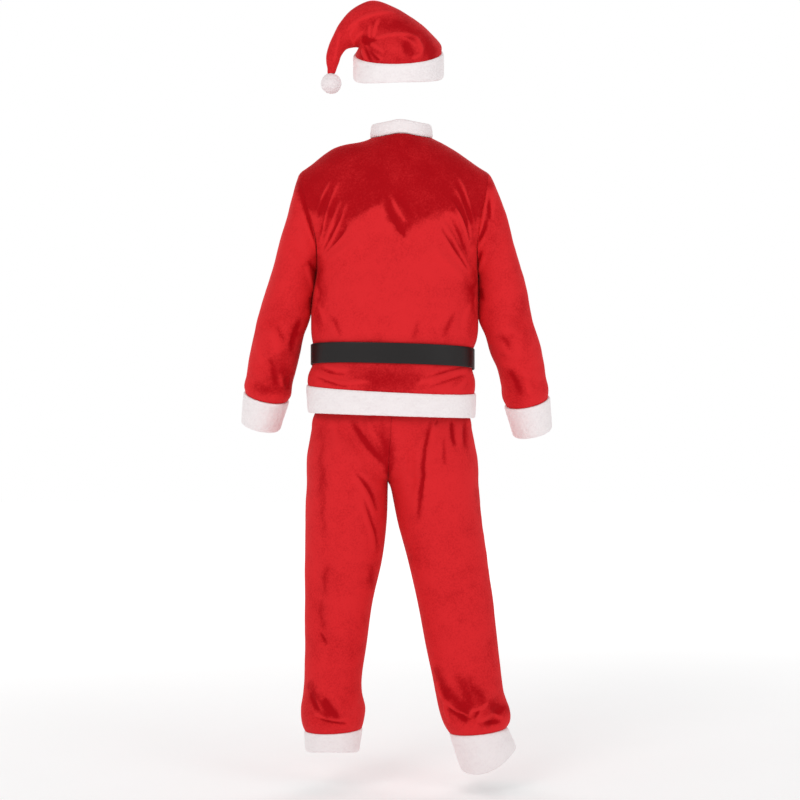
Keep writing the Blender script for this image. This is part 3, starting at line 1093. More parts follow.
class Wire:
    """A shader socket in arithmetic: each operator adds a Math node."""

    def __init__(self, recipe, socket):
        self.recipe, self.socket = recipe, socket

    def _math(self, operation, first, second):
        settings = {"operation": operation}
        return self.recipe.node("ShaderNodeMath", settings, {0: first, 1: second})

    def __add__(self, other):
        return self._math("ADD", self, other)

    def __radd__(self, other):
        return self._math("ADD", other, self)

    def __sub__(self, other):
        return self._math("SUBTRACT", self, other)

    def __rsub__(self, other):
        return self._math("SUBTRACT", other, self)

    def __mul__(self, other):
        return self._math("MULTIPLY", self, other)

    def __rmul__(self, other):
        return self._math("MULTIPLY", other, self)


class Recipe:
    """The nodes of one finish, or of the studio's light."""

    def __init__(self, name, owner=None):
        self.material = owner or bpy.data.materials.new(name)
        self.material.use_nodes = True
        self.tree = self.material.node_tree
        self.tree.nodes.clear()
        self.place = self.node("ShaderNodeTexCoord", output="Object")

    def node(self, kind, settings=None, sockets=None, output=0):
        """Adds a node of a type, sets it, then gives its sockets values or links."""
        made = self.tree.nodes.new(kind)
        for key, value in (settings or {}).items():
            setattr(made, key, value)
        for key, value in (sockets or {}).items():
            if isinstance(value, Wire):
                self.tree.links.new(value.socket, made.inputs[key])
            else:
                made.inputs[key].default_value = value
        return None if output is None else Wire(self, made.outputs[output])

    def noise(self, scale, detail, distortion=0.0, stretch=None):
        """Noise from 0 to 1 at a scale in cycles a metre, stretched along the axes if asked."""
        place = self.place
        if stretch:
            place = self.node("ShaderNodeMapping", None, {"Vector": place, "Scale": stretch})
        return self.node(
            "ShaderNodeTexNoise", None,
            {"Vector": place, "Scale": scale, "Detail": detail, "Distortion": distortion},
        )

    def value(self, name):
        """A number that the mesh carries for each point."""
        return self.node("ShaderNodeAttribute", {"attribute_name": name}, output="Fac")

    def between(self, wire, low, high):
        """0 below low, 1 above high and smooth between them."""
        return self.node(
            "ShaderNodeMapRange", {"interpolation_type": "SMOOTHSTEP"},
            {"Value": wire, "From Min": low, "From Max": high},
        )

    def mix(self, share, first, second):
        """A colour between two by a share."""
        return self.node(
            "ShaderNodeMix", {"data_type": "RGBA"}, {0: share, 6: first, 7: second}, output=2
        )

    def bump(self, height, depth, strength, under=None):
        """Normal tilted by a height of a depth in metres."""
        sockets = {"Height": height, "Distance": depth, "Strength": strength}
        if under:
            sockets["Normal"] = under
        return self.node("ShaderNodeBump", None, sockets)

    def finish(self, **sockets):
        """Closes the finish with a Principled shader."""
        named = {key.replace("_", " "): value for key, value in sockets.items()}
        shader = self.node("ShaderNodeBsdfPrincipled", None, named)
        self.node("ShaderNodeOutputMaterial", None, {"Surface": shader}, output=None)
        return self.material


def grey(value):
    """An even colour."""
    return (value, value, value, 1.0)


VELVET_SHEEN = (1.0, 0.10, 0.10, 1.0)
PLUSH_SHEEN = (1.0, 0.98, 0.98, 1.0)
PLUSH_ROOT = (0.90, 0.87, 0.88, 1.0)    # share of the plush's colour at the roots of its tufts
BELT_WORN = 2.1         # how much paler the leather is where it is worn
BRASS_DULL = 0.62       # share of the brass's colour under tarnish


def velvet_finish(colours):
    """Short-pile velvet: the nap lies in patches, is darker in hollows and lighter on ridges."""
    r = Recipe("velvet")
    ridge = r.value("ridge")
    nap = r.value("nap")
    patches = r.noise(9.0, 4.0, 0.8)
    drift = r.noise(34.0, 3.0, 0.5)
    speckle = r.noise(260.0, 4.0)
    pile = r.noise(1500.0, 1.0)
    mottle = (patches - 0.5) * 0.6 + (drift - 0.5) * 0.6 + (speckle - 0.5) * 1.15
    deep = nap + mottle - ridge * 1.05
    share = r.between(deep, -0.15, 1.15)
    colour = r.mix(share, tuple(colours.velvet), tuple(colours.velvet_deep))
    rough = 0.72 + (speckle - 0.5) * 0.2
    normal = r.bump(speckle, 0.0005, 0.6, r.bump(pile, 0.0003, 0.5))
    return r.finish(
        Base_Color=colour, Roughness=rough, Normal=normal, Specular_IOR_Level=0.06,
        Sheen_Weight=0.30, Sheen_Roughness=0.35, Sheen_Tint=VELVET_SHEEN,
    )


def plush_finish(colours):
    """White plush: tufts a shade greyer at their roots, with a soft fibre bump."""
    r = Recipe("plush")
    tuft = r.value("tuft")
    clumps = r.noise(60.0, 3.0, 0.4)
    fibre = r.noise(700.0, 3.0, 1.2)
    white = tuple(colours.plush)
    root = tuple(c * k for c, k in zip(white, PLUSH_ROOT))
    deep = 0.45 - tuft * 0.5 + (clumps - 0.5) * 0.3 + (fibre - 0.5) * 0.4
    colour = r.mix(r.between(deep, 0.1, 1.2), white, root)
    normal = r.bump(fibre, 0.0009, 0.6, r.bump(clumps, 0.0020, 0.3))
    return r.finish(
        Base_Color=colour, Roughness=0.9, Normal=normal, Specular_IOR_Level=0.15,
        Sheen_Weight=0.25, Sheen_Roughness=0.5, Sheen_Tint=PLUSH_SHEEN,
    )


def belt_finish(colours):
    """Black leather with a fine pebble grain, duller along its worn edges."""
    r = Recipe("belt")
    pebble = r.node(
        "ShaderNodeTexVoronoi", {"feature": "SMOOTH_F1"},
        {"Vector": r.place, "Scale": 620.0, "Smoothness": 0.6},
    )
    wear = r.noise(26.0, 4.0, 0.5)
    edge = r.value("edge")
    black = tuple(colours.belt)
    worn = tuple(c * BELT_WORN for c in black[:3]) + (1.0,)
    colour = r.mix(r.between(wear * 0.8 + edge * 0.5, 0.45, 1.0), black, worn)
    rough = 0.42 + (wear - 0.5) * 0.25 + edge * 0.12
    normal = r.bump(pebble, 0.0004, 0.35)
    return r.finish(Base_Color=colour, Roughness=rough, Normal=normal, Specular_IOR_Level=0.3)


def brass_finish(colours):
    """Brushed brass with faint tarnish."""
    r = Recipe("buckle")
    brushed = r.noise(900.0, 2.0, 0.0, (1.0, 1.0, 0.04))
    tarnish = r.noise(70.0, 4.0, 0.6)
    bright = tuple(colours.brass)
    dull = tuple(c * BRASS_DULL for c in bright[:3]) + (1.0,)
    colour = r.mix(r.between(tarnish, 0.45, 0.75), bright, dull)
    rough = 0.26 + (brushed - 0.5) * 0.18 + (tarnish - 0.5) * 0.1
    return r.finish(
        Base_Color=colour, Metallic=1.0, Roughness=rough, Normal=r.bump(brushed, 0.0001, 0.2)
    )


FINISHES = {}


def finish_of(key):
    """The suit's finishes, each made once."""
    makers = {
        "velvet": velvet_finish, "plush": plush_finish, "belt": belt_finish, "buckle": brass_finish,
    }
    if key not in FINISHES:
        FINISHES[key] = makers[key](bpy.context.scene.suit_colours)
    return FINISHES[key]


def cloth(
    name, surface, turn, u, v, folds, creases, seams, nap, replaced, ring=False, inseam=False
):
    """A velvet piece: its surface, lifted by large folds, by finer creases that wander and by soft
    waves, drawn in a little along its seams, and closed with an inner face a wall's depth in. Its
    last column stays level with its neighbour's where that is a seam between the legs."""
    sizes = bpy.context.scene.suit_sizes
    points = surface(u, v)
    out = normals(surface, u, v, turn)
    away = edge_distance(points, seams)
    calm = ease(away / SEAM_CALM)
    roam = wandering(points, *CREASE_WANDER)
    crease = on_faces(strokes, roam, out, *creases, CREASE_TURNED) * sizes.crease * calm
    waves = sum(height * noise(points, size, seed) for height, size, seed in WAVES) * calm
    drawn = SEAM_DRAWN[0] * bell(away, SEAM_DRAWN[1])
    lift = on_faces(relief, points, out, *folds, FOLD_TURNED) + crease + waves - drawn
    push = out * lift[..., None]
    if inseam:
        push[..., 0] *= ease(edge_distance(points, ("last_column",)) / INSEAM_CALM)
    outer = points + push
    inner = outer - out * sizes.wall
    edges = {
        "first_column": (np.s_[:, 0], np.s_[:, 1]), "last_column": (np.s_[:, -1], np.s_[:, -2]),
        "first_row": (np.s_[0], np.s_[1]), "last_row": (np.s_[-1], np.s_[-2]),
    }
    for seam in seams:
        edge, neighbour = edges[seam]
        shift = unit(outer[neighbour] - outer[edge]) * SEWN / 2
        outer[edge] += shift
        inner[edge] += shift
    mesh_points, faces = close_wall(outer, inner, out, ring)
    ridge = ((crease + RIDGE_WAVES * waves) / RIDGE_HEIGHT).ravel()
    shade = nap(points, out).ravel()
    return make_mesh(name, mesh_points, faces, "velvet", replaced, {
        "ridge": np.concatenate([ridge, np.zeros_like(ridge)]),
        "nap": np.concatenate([shade, np.full_like(shade, INNER_NAP)]),
    })


def columns_for(length, finer):
    """How many cells of velvet a length takes, or more of them where they are finer."""
    return max(int(round(length * finer / bpy.context.scene.suit_sizes.cell)), 4)


def near_edges(across, tall, reach):
    """1 at both edges of a band, falling to 0 at a reach from them, at shares across it."""
    return np.clip(1.0 - np.minimum(across, 1.0 - across) * tall / reach, 0.0, 1.0)


def rounded(near, share):
    """How far a rounded edge has turned in, from 0 to nearly 1: a share of a quarter circle."""
    return 1.0 - np.sqrt(1.0 - near**2 * share)


def plush(name, section, thickness, out_by, tall, replaced, ring=True):
    """A plush band: section gives its points at shares across and growths; its outer face is
    rounded at both edges and stands out in tufts."""
    count = max(int(round(tall / bpy.context.scene.suit_sizes.plush_cell)), 8)
    turn = np.linspace(0.0, math.pi, count + 1)
    across = 0.5 - 0.5 * np.cos(turn) * (1.0 - PLUSH_SPACING * np.sin(turn))
    near = near_edges(across, tall, PLUSH_ROUND[0] * thickness)
    outer = section(across, out_by - PLUSH_ROUND[1] * rounded(near, 0.98) * thickness)
    inner = section(across, 0.0 * across + out_by - thickness)
    return band(name, outer, inner, near[:, None], replaced, ring)


def tufts(points):
    """Height of plush from -1 to 1: clumps, with finer tufts on them drawn to points."""
    (sharp, *sharp_noise), (fine, *fine_noise), (broad, *broad_noise) = (
        TUFT_POINTS, TUFT_FINE, TUFT_CLUMPS
    )
    pointed = 1.0 - 2.0 * np.abs(noise(points, *sharp_noise))
    return sharp * pointed + fine * noise(points, *fine_noise) + broad * noise(points, *broad_noise)


def band(name, outer, inner, calm, replaced, ring):
    """Closes a plush band and raises its tufts outward, lower where it is calm."""
    out = unit(outer - inner)
    height = tufts(outer)
    pile = bpy.context.scene.suit_sizes.pile * 0.5 * height * (1.0 - TUFT_CALM * calm)
    sway = np.stack([noise(outer, SWAY[1], seed) for seed in SWAY_SEEDS], -1)
    outer = outer + out * pile[..., None] + SWAY[0] * sway
    points, faces = close_wall(outer, inner, out, ring)
    tuft = height.ravel()
    return make_mesh(name, points, faces, "plush", replaced, {
        "tuft": np.concatenate([tuft, np.zeros_like(tuft)]),
    })


def panel_angle(share, row):
    """Degrees from a panel's middle to a share of its width; its edge is the side seam and, above
    that, the armhole, which draws in the columns near it and leaves those near the middle."""
    limit = np.where(row > BODY_TOP, armhole_angle(np.maximum(row - BODY_TOP, 0.0)), 90.0)
    return 90.0 * share - (90.0 - limit) * share**3


def spread_rows(low, high, length, finer):
    """Evenly spread parameter values over a length of cloth."""
    return np.linspace(low, high, columns_for(length, finer) + 1)


def shares_round(count):
    """Evenly spread shares of a turn."""
    return np.arange(count) / count


def frayed(points, far, finer):
    """Points moved by two sizes of noise, so that patches of nap have ragged edges."""
    return wandering(wandering(points, far, *NAP_FRAY[0]), finer, *NAP_FRAY[1])


def jacket_nap(points, out):
    """Darker nap above the yoke's ragged edge on the back, and the placed strokes."""
    ragged = frayed(points, *JACKET_FRAY)
    x, height = ragged[..., 0], ragged[..., 2] - FLOOR
    back = ease(out[..., 1] / YOKE_TURNED)
    edge = np.interp(x, YOKE[:, 0], YOKE[:, 1])
    dark = YOKE_DARK * ease((height - edge + YOKE_EDGE[0]) / YOKE_EDGE[1])
    return back * (dark + strokes(ragged, JACKET_BACK_NAP)) + (1.0 - back) * FRONT_NAP


def napped(back_lines, front_lines, even=0.10):
    """Nap of a piece: broad soft patches, and strokes placed on its back and its front."""
    def nap(points, out):
        ragged = frayed(points, *LIMB_FRAY)
        patches = even + NAP_PATCHES[0] * noise(points, *NAP_PATCHES[1:])
        return patches + on_faces(strokes, ragged, out, back_lines, front_lines, NAP_TURNED)
    return nap


def torso():
    """The jacket's surface with its large folds, which the sleeves and edges start from."""
    return folded(body, 1, JACKET_BACK_FOLDS, JACKET_FRONT_FOLDS)


class SUIT_OT_jacket(Operator):
    """Back and two fronts of the jacket, in velvet"""

    bl_idname = "suit.jacket"
    bl_label = "Jacket"

    def execute(self, context):
        def lines(finer):
            low = spread_rows(HEM_TOP, BODY_TOP, JACKET_LENGTHS[0], finer)
            rise = spread_rows(0.0, 1.0, JACKET_LENGTHS[1], finer)[1:] ** RISE_SPACING
            rows = np.concatenate([low, BODY_TOP + rise])
            return rows, spread_rows(0.0, 1.0, JACKET_LENGTHS[2], finer)

        rows, half = lines(BACK_FINER)
        seams = ("first_column", "last_column", "first_row", "last_row")
        folds = (JACKET_BACK_FOLDS, JACKET_FRONT_FOLDS)
        creases = (JACKET_BACK_CREASES, JACKET_FRONT_CREASES)
        row, share = np.meshgrid(rows, np.concatenate([-half[:0:-1], half]), indexing="ij")
        back = cloth(
            "velvet_jacket_back", body, 1, panel_angle(share, row), row, folds, creases, seams,
            jacket_nap, ("jacket_back",),
        )
        row, share = np.meshgrid(*lines(1.0), indexing="ij")
        for name, side in (("left", 1), ("right", -1)):
            front = cloth(
                "velvet_jacket_front_" + name, body, 1, 180.0 - side * panel_angle(share, row), row,
                folds, creases, seams, jacket_nap, ("jacket_front_" + name,),
            )
        return {"FINISHED"}


class SUIT_OT_sleeves(Operator):
    """Both sleeves, in velvet, with their plush cuffs"""

    bl_idname = "suit.sleeves"
    bl_label = "Sleeves"

    def execute(self, context):
        base = torso()
        for name, table, side in (("left", SLEEVE_LEFT, 1), ("right", SLEEVE_RIGHT, -1)):
            mirror = np.array([side, 1, side, 1, 1, 1])
            surface = resting(sleeve(table, side, base), side)
            around = shares_round(columns_for(SLEEVE_LENGTHS[2], LIMB_FINER))
            rows = np.concatenate([
                spread_rows(0.0, 1.0, SLEEVE_LENGTHS[0], LIMB_FINER)[:-1],
                spread_rows(1.0, len(table), SLEEVE_LENGTHS[1], LIMB_FINER),
            ])
            row, turn = np.meshgrid(rows, around, indexing="ij")
            piece = cloth(
                "velvet_sleeve_" + name, surface, -side, turn, row,
                (SLEEVE_FOLDS * mirror, SLEEVE_FOLDS * mirror),
                (SLEEVE_BACK_CREASES, SLEEVE_FRONT_CREASES), ("first_row", "last_row"),
                napped(SLEEVE_NAP, SLEEVE_NAP), ("sleeve_" + name,), ring=True,
            )
            last = len(table) - 1.0
            turns = shares_round(CUFF_POINTS)
            rows_at = last + 0.0 * turns
            middle = sleeve_ring(table, side, turns, rows_at).mean(0)
            axis = unit(middle - sleeve_ring(table, side, turns, rows_at - 0.5).mean(0))

            def section(across, grow):
                flare = CUFF_FLARE[0] + (CUFF_FLARE[1] - CUFF_FLARE[0]) * across
                rings = [sleeve_ring(table, side, turns, rows_at, size) for size in grow + flare]
                return np.stack(rings) + (SEAM + CUFF_LENGTH * across)[:, None, None] * axis

            cuff = plush(
                "plush_cuff_" + name, section, context.scene.suit_sizes.plush_wall, 0.0,
                CUFF_LENGTH, ("cuff_" + name,),
            )
        return {"FINISHED"}


class SUIT_OT_edges(Operator):
    """Plush hem band, front trim and collar"""

    bl_idname = "suit.edges"
    bl_label = "Plush edges"

    def execute(self, context):
        base = torso()
        rise = BODY_TOP + np.linspace(0.0, 1.0, TRIM_POINTS[0])[1:] ** RISE_SPACING
        rows = np.concatenate([np.linspace(0.0, BODY_TOP, TRIM_POINTS[0]), rise])
        share = np.linspace(-TRIM_SHARE, TRIM_SHARE, TRIM_POINTS[1])
        row, share = np.meshgrid(rows, share, indexing="ij")
        angle = 180.0 + panel_angle(share, row)
        out = normals(base, angle, row, 1)
        points = base(angle, row)
        points[-1] += unit(points[-2] - points[-1]) * SEAM
        pressed = np.exp(-(((row - BELT_ROW) / TRIM_PRESSED_ROWS) ** 8))
        near = (np.abs(share) / TRIM_SHARE) ** 4
        thick = (TRIM_THICK - (TRIM_THICK - TRIM_PRESSED) * pressed) * (1.0 - TRIM_EDGE * near)
        outer = points + out * (TRIM_CLEAR + thick)[..., None]
        inner = points + out * TRIM_CLEAR
        calm = np.clip(TRIM_CALM[0] * pressed + TRIM_CALM[1] * near, 0.0, 1.0)
        trim = band("plush_front_trim", outer, inner, calm, ("front_trim",), False)

        def hem(across, grow):
            row = HEM_TOP * (1.0 - across)
            degree = base(180.5 + 0 * row, row) - base(179.5 + 0 * row, row)
            end = 180.0 - TRIM_SHARE * 90.0 - HEM_END_GAP / np.linalg.norm(degree, axis=-1)
            turn = np.linspace(-1.0, 1.0, HEM_POINTS)
            row, turn = np.meshgrid(row, turn, indexing="ij")
            angle = turn * end[:, None]
            flat = unit(normals(base, angle, row, 1) * np.array([1.0, 1.0, 0.0]))
            return base(angle, row) + flat * grow[:, None, None] - np.array([0.0, 0.0, SEAM])

        low = plush(
            "plush_hem_band", hem, context.scene.suit_sizes.plush_wall, HEM_BAND_OUT,
            HEM_BAND_TALL, ("hem_band",), ring=False,
        )

        near = NECK_ANGLE * np.sin(np.linspace(0.0, math.pi / 2, COLLAR_POINTS))
        around = np.concatenate([180.0 - near, near[::-1], -near[1:], -180.0 + near[::-1]])
        around = np.delete(around, [COLLAR_POINTS, -COLLAR_POINTS])

        def collar(across, grow):
            line = body(around, 0.0 * around + BODY_TOP + 1.0)
            line[0, 0] += SEAM
            line[-1, 0] -= SEAM
            flat = unit(np.stack([line[:, 0] - NECK_X, line[:, 1], 0.0 * around], -1))
            up = (SEAM + COLLAR_TALL * across)[:, None, None] * np.array([0.0, 0.0, 1.0])
            return line + up + (grow - COLLAR_LEAN * across)[:, None, None] * flat

        top = plush(
            "plush_collar", collar, COLLAR_THICK, COLLAR_OUT, COLLAR_TALL, ("collar",), ring=False
        )
        return {"FINISHED"}


class SUIT_OT_trousers(Operator):
    """Four panels of the trousers, the waistband's casing and the plush cuffs"""

    bl_idname = "suit.trousers"
    bl_label = "Trousers"

    def execute(self, context):
        folds = (TROUSER_BACK_FOLDS, TROUSER_FRONT_FOLDS)
        creases = (TROUSER_BACK_CREASES, TROUSER_FRONT_CREASES)
        for name, table, hem, turn in (
            ("left", LEG_LEFT, HEM_LEFT, -1), ("right", LEG_RIGHT, HEM_RIGHT, 1),
        ):
            surface = leg(table)
            knots = np.arange(len(table), dtype=float)
            steps = np.maximum(np.diff(table[:, 1]), LEG_ROW_LEAST)
            length = np.concatenate([[0.0], np.cumsum(steps)])
            for part, way, finer in (("back", 1, LIMB_FINER), ("front", -1, 1.0)):
                spread = spread_rows(0.0, length[-1], TROUSER_LENGTHS[0], finer)
                shares = spread_rows(0.0, 1.0, TROUSER_LENGTHS[1], finer)
                row, share = np.meshgrid(np.interp(spread, length, knots), shares, indexing="ij")
                piece = cloth(
                    f"velvet_trouser_{part}_{name}", surface, turn, way * share, row, folds,
                    creases, ("first_column", "last_column", "first_row"),
                    napped(TROUSER_BACK_NAP, TROUSER_FRONT_NAP), (f"trouser_{part}_{name}",),
                    inseam=True,
                )

            turns = shares_round(TROUSER_CUFF_POINTS) * 2.0 * math.pi
            edges = np.stack([table[0], hem[0]])
            edges[0, -1] = 0.0

            def section(across, grow):
                side_x, side_z, inner_x, inner_z, back, front, centre_y, lift = [
                    column[:, None]
                    for column in (edges[0] + (edges[1] - edges[0]) * across[:, None]).T
                ]
                half = (side_x - inner_x) / 2
                half = half + np.sign(half) * grow[:, None]
                inward = (1.0 - np.cos(turns)) / 2
                x = (side_x + inner_x) / 2 + half * np.cos(turns)
                depth = np.where(np.sin(turns) > 0, back, front) + grow[:, None]
                y = centre_y + depth * np.sin(turns)
                z = side_z + (inner_z - side_z) * inward + lift * np.maximum(np.sin(turns), 0.0) ** 2
                return np.stack([x, y, z + FLOOR - SEAM], -1)

            cuff = plush(
                "plush_trouser_cuff_" + name, section, context.scene.suit_sizes.plush_wall,
                TROUSER_CUFF_OUT, TROUSER_CUFF_TALL, ("trouser_cuff_" + name,),
            )

        left, right = LEG_LEFT[-1], LEG_RIGHT[-1]
        turns = np.linspace(0.0, 2.0 * math.pi, WAISTBAND_POINTS[1], endpoint=False)
        rise = np.linspace(0.0, 1.0, WAISTBAND_POINTS[0])[:, None]

        def casing(grow, gather):
            half = np.where(np.sin(turns) > 0, left[0] - left[2], right[2] - right[0])
            depth = np.where(np.cos(turns) > 0, left[4], left[5])
            gathers = 0.5 + 0.5 * np.sin(WAISTBAND_GATHERS[0] * turns)
            wave = gather * gathers * np.sin(math.pi * rise)
            x = left[2] + (half + grow - wave) * np.sin(turns)
            y = (depth + grow - wave) * np.cos(turns)
            z = left[1] + SEAM + FLOOR + WAISTBAND_TALL * rise + 0.0 * turns
            return np.stack([x + 0.0 * rise, y + 0.0 * rise, z], -1)

        outer, inner = casing(0.0, WAISTBAND_GATHERS[1]), casing(-WAISTBAND_THICK, 0.0)
        points, faces = close_wall(outer, inner, unit(outer - inner), True)
        values = {"ridge": np.zeros(len(points)), "nap": np.full(len(points), WAISTBAND_NAP)}
        waistband = make_mesh(
            "velvet_waistband", points, faces, "velvet", ("waistband",), values
        )
        return {"FINISHED"}


class SUIT_OT_hat(Operator):
    """Velvet crown, plush band and pompom"""

    bl_idname = "suit.hat"
    bl_label = "Hat"

    def execute(self, context):
        around = shares_round(HAT_POINTS[1])
        rows = np.interp(np.linspace(0.0, 1.0, HAT_POINTS[0]), *HAT_SPACING)
        row, turn = np.meshgrid(rows, around, indexing="ij")
        crown = cloth(
            "velvet_hat_crown", hat_surface, -1, turn, row, ((), ()), (HAT_CREASES, HAT_CREASES),
            ("first_row", "last_row"), napped(HAT_NAP, HAT_NAP, HAT_EVEN_NAP), ("hat_crown",),
            ring=True,
        )

        turns = shares_round(HAT_BAND_POINTS)

        def section(across, grow):
            rings = []
            for share, size in zip(across, grow):
                ring = hat_surface(turns, 0.0 * turns, size)
                pinch = HAT_BAND_PINCH * np.sin(2.0 * math.pi * turns) ** 2
                ring[:, 2] -= SEAM + share * (HAT_BAND_TALL - pinch)
                rings.append(ring)
            return np.stack(rings)

        rim = plush(
            "plush_hat_band", section, HAT_BAND_THICK, HAT_BAND_OUT, HAT_BAND_TALL, ("hat_band",)
        )

        ball = bmesh.new()
        bmesh.ops.create_icosphere(ball, subdivisions=6, radius=1.0)
        way = np.array([vert.co[:] for vert in ball.verts])
        faces = np.array([[vert.index for vert in face.verts] for face in ball.faces])
        ball.free()
        x, y, height = POMPOM_CENTRE
        points = way * POMPOM_RADIUS
        tuft = tufts(points + POMPOM_SHIFT)
        points = points + way * (POMPOM_TUFT * tuft)[:, None] + np.array([x, y, height + FLOOR])
        values = {"tuft": tuft - 1.0}
        pompom = make_mesh("plush_pompom", points, faces, "plush", ("hat_pompom",), values)
        return {"FINISHED"}


class SUIT_OT_belt(Operator):
    """Strap, plain frame buckle and prong"""

    bl_idname = "suit.belt"
    bl_label = "Belt"

    def execute(self, context):
        height, width, back, front, centre, tilt_x, tilt_y = row_at(BODY, np.array(BELT_ROW))
        angles = np.linspace(BELT_START, -180.0 - BELT_LAP, BELT_POINTS[1])
        up = 0.5 - 0.5 * np.cos(np.linspace(0.0, math.pi, BELT_POINTS[0]))
        edge = near_edges(up, BELT_TALL, BELT_ROLL[0])
        rolled = BELT_ROLL[1] * rounded(edge, 0.99)
        depth, apart, reach = BELT_GROOVE
        groove = depth * bell(np.minimum(up, 1.0 - up) * BELT_TALL - apart, reach)

        def layer(out):
            lap = ease((-angles - BELT_LAP_RISE[0]) / BELT_LAP_RISE[1])
            grow = BELT_CLEAR + out[:, None] + lap * (BELT_THICK + BELT_LAP_OUT)
            x, y = oval(np.radians(angles), width + grow, back + grow, front + grow, BODY_POWER)
            y = y - np.where(y < 0, BELT_BUMP[0], 0.0) * np.exp(-((x / BELT_BUMP[1]) ** 4))
            z = height + (up[:, None] - 0.5) * BELT_TALL + tilt_x * x + tilt_y * y + FLOOR
            return np.stack([centre + x, y, z], -1)

        outer, inner = layer(BELT_THICK - rolled - groove), layer(rolled)
        points, faces = close_wall(outer, inner, unit(outer - inner), False)
        near = np.repeat(edge[:, None], len(angles), 1).ravel()
        values = {"edge": np.concatenate([near, near])}
        strap = make_mesh("leather_belt_strap", points, faces, "belt", ("belt_strap",), values)

        face = front + BELT_CLEAR + BELT_BUMP[0] + 2 * BELT_THICK + BELT_LAP_OUT
        wide, tall = BUCKLE_SIZE
        middle = np.array([centre, -face - SEAM - BUCKLE_THICK / 2, height - tilt_y * face + FLOOR])
        round_bar, along = BUCKLE_POINTS
        turns = shares_round(along) * 2.0 * math.pi
        rise, across = oval(turns, 1.0, 1.0, 1.0, BUCKLE_CORNERS)
        turns = shares_round(round_bar) * 2.0 * math.pi
        deep, side = oval(turns, 1.0, 1.0, 1.0, BUCKLE_SECTION)
        x = ((wide - BUCKLE_BAR) / 2 + BUCKLE_BAR / 2 * side[:, None]) * across
        z = ((tall - BUCKLE_BAR) / 2 + BUCKLE_BAR / 2 * side[:, None]) * rise + tilt_x * x
        y = 0.0 * x - (BUCKLE_THICK / 2 * deep)[:, None]
        points = (np.stack([x, y, z], -1) + middle).reshape(-1, 3)
        index = np.pad(np.arange(round_bar * along).reshape(BUCKLE_POINTS), (0, 1), "wrap")
        faces = quads(index)
        faces = facing_out(points, faces, faces[0], np.array([1.0, 0.0, 0.0]))
        make_mesh("brass_belt_buckle", points, faces, "buckle", ("belt_buckle",))
        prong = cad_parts["belt_prong"].data
        prong.materials.clear()
        prong.materials.append(finish_of("buckle"))
        return {"FINISHED"}


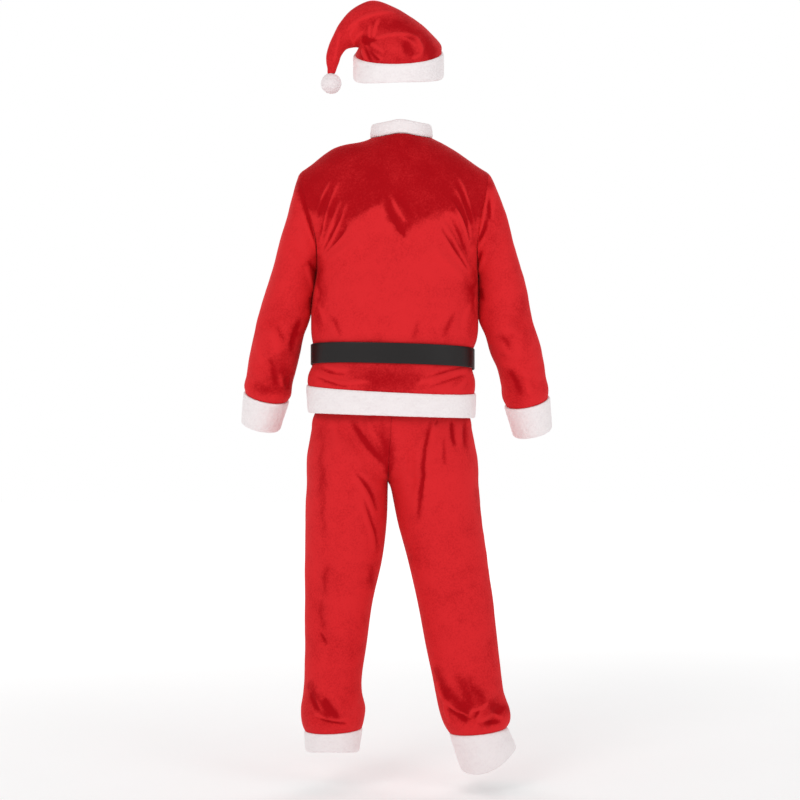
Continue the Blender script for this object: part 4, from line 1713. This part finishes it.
class SUIT_OT_stage(Operator):
    """Pale floor, soft lights and the camera"""

    bl_idname = "suit.stage"
    bl_label = "Stage"

    def execute(self, context):
        scene = context.scene
        stage = scene.suit_stage
        corners = [
            (x * FLOOR_REACH, y * FLOOR_REACH, FLOOR) for x, y in ((-1, -1), (1, -1), (1, 1), (-1, 1))
        ]
        mesh = bpy.data.meshes.new("floor")
        mesh.from_pydata(corners, [], [(0, 1, 2, 3)])
        r = Recipe("floor")
        grain = r.noise(6.0, 3.0)
        away = r.node("ShaderNodeVectorMath", {"operation": "LENGTH"}, {0: r.place}, output="Value")
        glow = r.between(away, *FLOOR_GLOW_REACH)
        dim = grey(stage.floor_glow * FLOOR_GLOW_NEAR)
        mesh.materials.append(r.finish(
            Base_Color=r.mix(grain, *map(grey, FLOOR_GREYS)),
            Roughness=0.9, Specular_IOR_Level=0.1, Emission_Strength=1.0,
            Emission_Color=r.mix(glow, dim, grey(stage.floor_glow)),
        ))
        floor = bpy.data.objects.new("floor", mesh)
        scene.collection.objects.link(floor)

        scene.world = bpy.data.worlds.new("studio")
        r = Recipe("studio", scene.world)
        seen = r.node("ShaderNodeLightPath", output="Is Camera Ray")
        strength = seen * (1.0 - stage.fill) + stage.fill
        sky = r.node("ShaderNodeBackground", None, {"Color": grey(1.0), "Strength": strength})
        r.node("ShaderNodeOutputWorld", None, {"Surface": sky}, output=None)

        middle = Vector((VIEW_MIDDLE, 0.0, stage.view_width / 2 - VIEW_DROP + FLOOR))
        for number, (place, size, share, colour) in enumerate(LAMPS):
            light = bpy.data.lights.new(f"soft_{number}", "AREA")
            light.shape, light.size = "DISK", size
            light.energy = stage.key * share
            light.color = colour
            lamp = bpy.data.objects.new(f"soft_{number}", light)
            lamp.location = place
            lamp.rotation_euler = (middle - Vector(place)).to_track_quat("-Z", "Y").to_euler()
            scene.collection.objects.link(lamp)

        lens = bpy.data.cameras.new("camera")
        camera = bpy.data.objects.new("camera", lens)
        scene.collection.objects.link(camera)
        camera.location = (middle.x, stage.distance, stage.eye_height + FLOOR)
        camera.rotation_euler = (middle - camera.location).to_track_quat("-Z", "Y").to_euler()
        lens.sensor_width = 36.0
        lens.lens = lens.sensor_width * stage.distance / stage.view_width
        lens.clip_end = 60.0
        scene.camera = camera
        scene.view_settings.view_transform = "Standard"
        return {"FINISHED"}


class SUIT_PT_panel(Panel):
    """The suit's pieces in the 3D view's sidebar"""

    bl_label = "Santa Suit"
    bl_space_type = "VIEW_3D"
    bl_region_type = "UI"
    bl_category = "Santa Suit"

    def draw(self, context):
        scene = context.scene
        for settings in (scene.suit_sizes, scene.suit_colours, scene.suit_stage):
            column = self.layout.box().column()
            for key in settings.__annotations__:
                column.prop(settings, key)
        for operator in OPERATORS:
            self.layout.operator(operator.bl_idname)


OPERATORS = (
    SUIT_OT_jacket, SUIT_OT_sleeves, SUIT_OT_edges, SUIT_OT_trousers, SUIT_OT_hat, SUIT_OT_belt,
    SUIT_OT_stage,
)
CLASSES = (SuitSizes, SuitColours, SuitStage) + OPERATORS + (SUIT_PT_panel,)


def register():
    """Adds the classes and the scene's settings."""
    for kind in CLASSES:
        bpy.utils.register_class(kind)
    bpy.types.Scene.suit_sizes = PointerProperty(type=SuitSizes)
    bpy.types.Scene.suit_colours = PointerProperty(type=SuitColours)
    bpy.types.Scene.suit_stage = PointerProperty(type=SuitStage)


def unregister():
    """Takes them away again."""
    for key in ("suit_sizes", "suit_colours", "suit_stage"):
        delattr(bpy.types.Scene, key)
    for kind in reversed(CLASSES):
        bpy.utils.unregister_class(kind)


def main():
    """Builds every piece in order."""
    register()
    for step in ("jacket", "sleeves", "edges", "trousers", "hat", "belt", "stage"):
        getattr(bpy.ops.suit, step)()


if __name__ == "__main__":
    main()
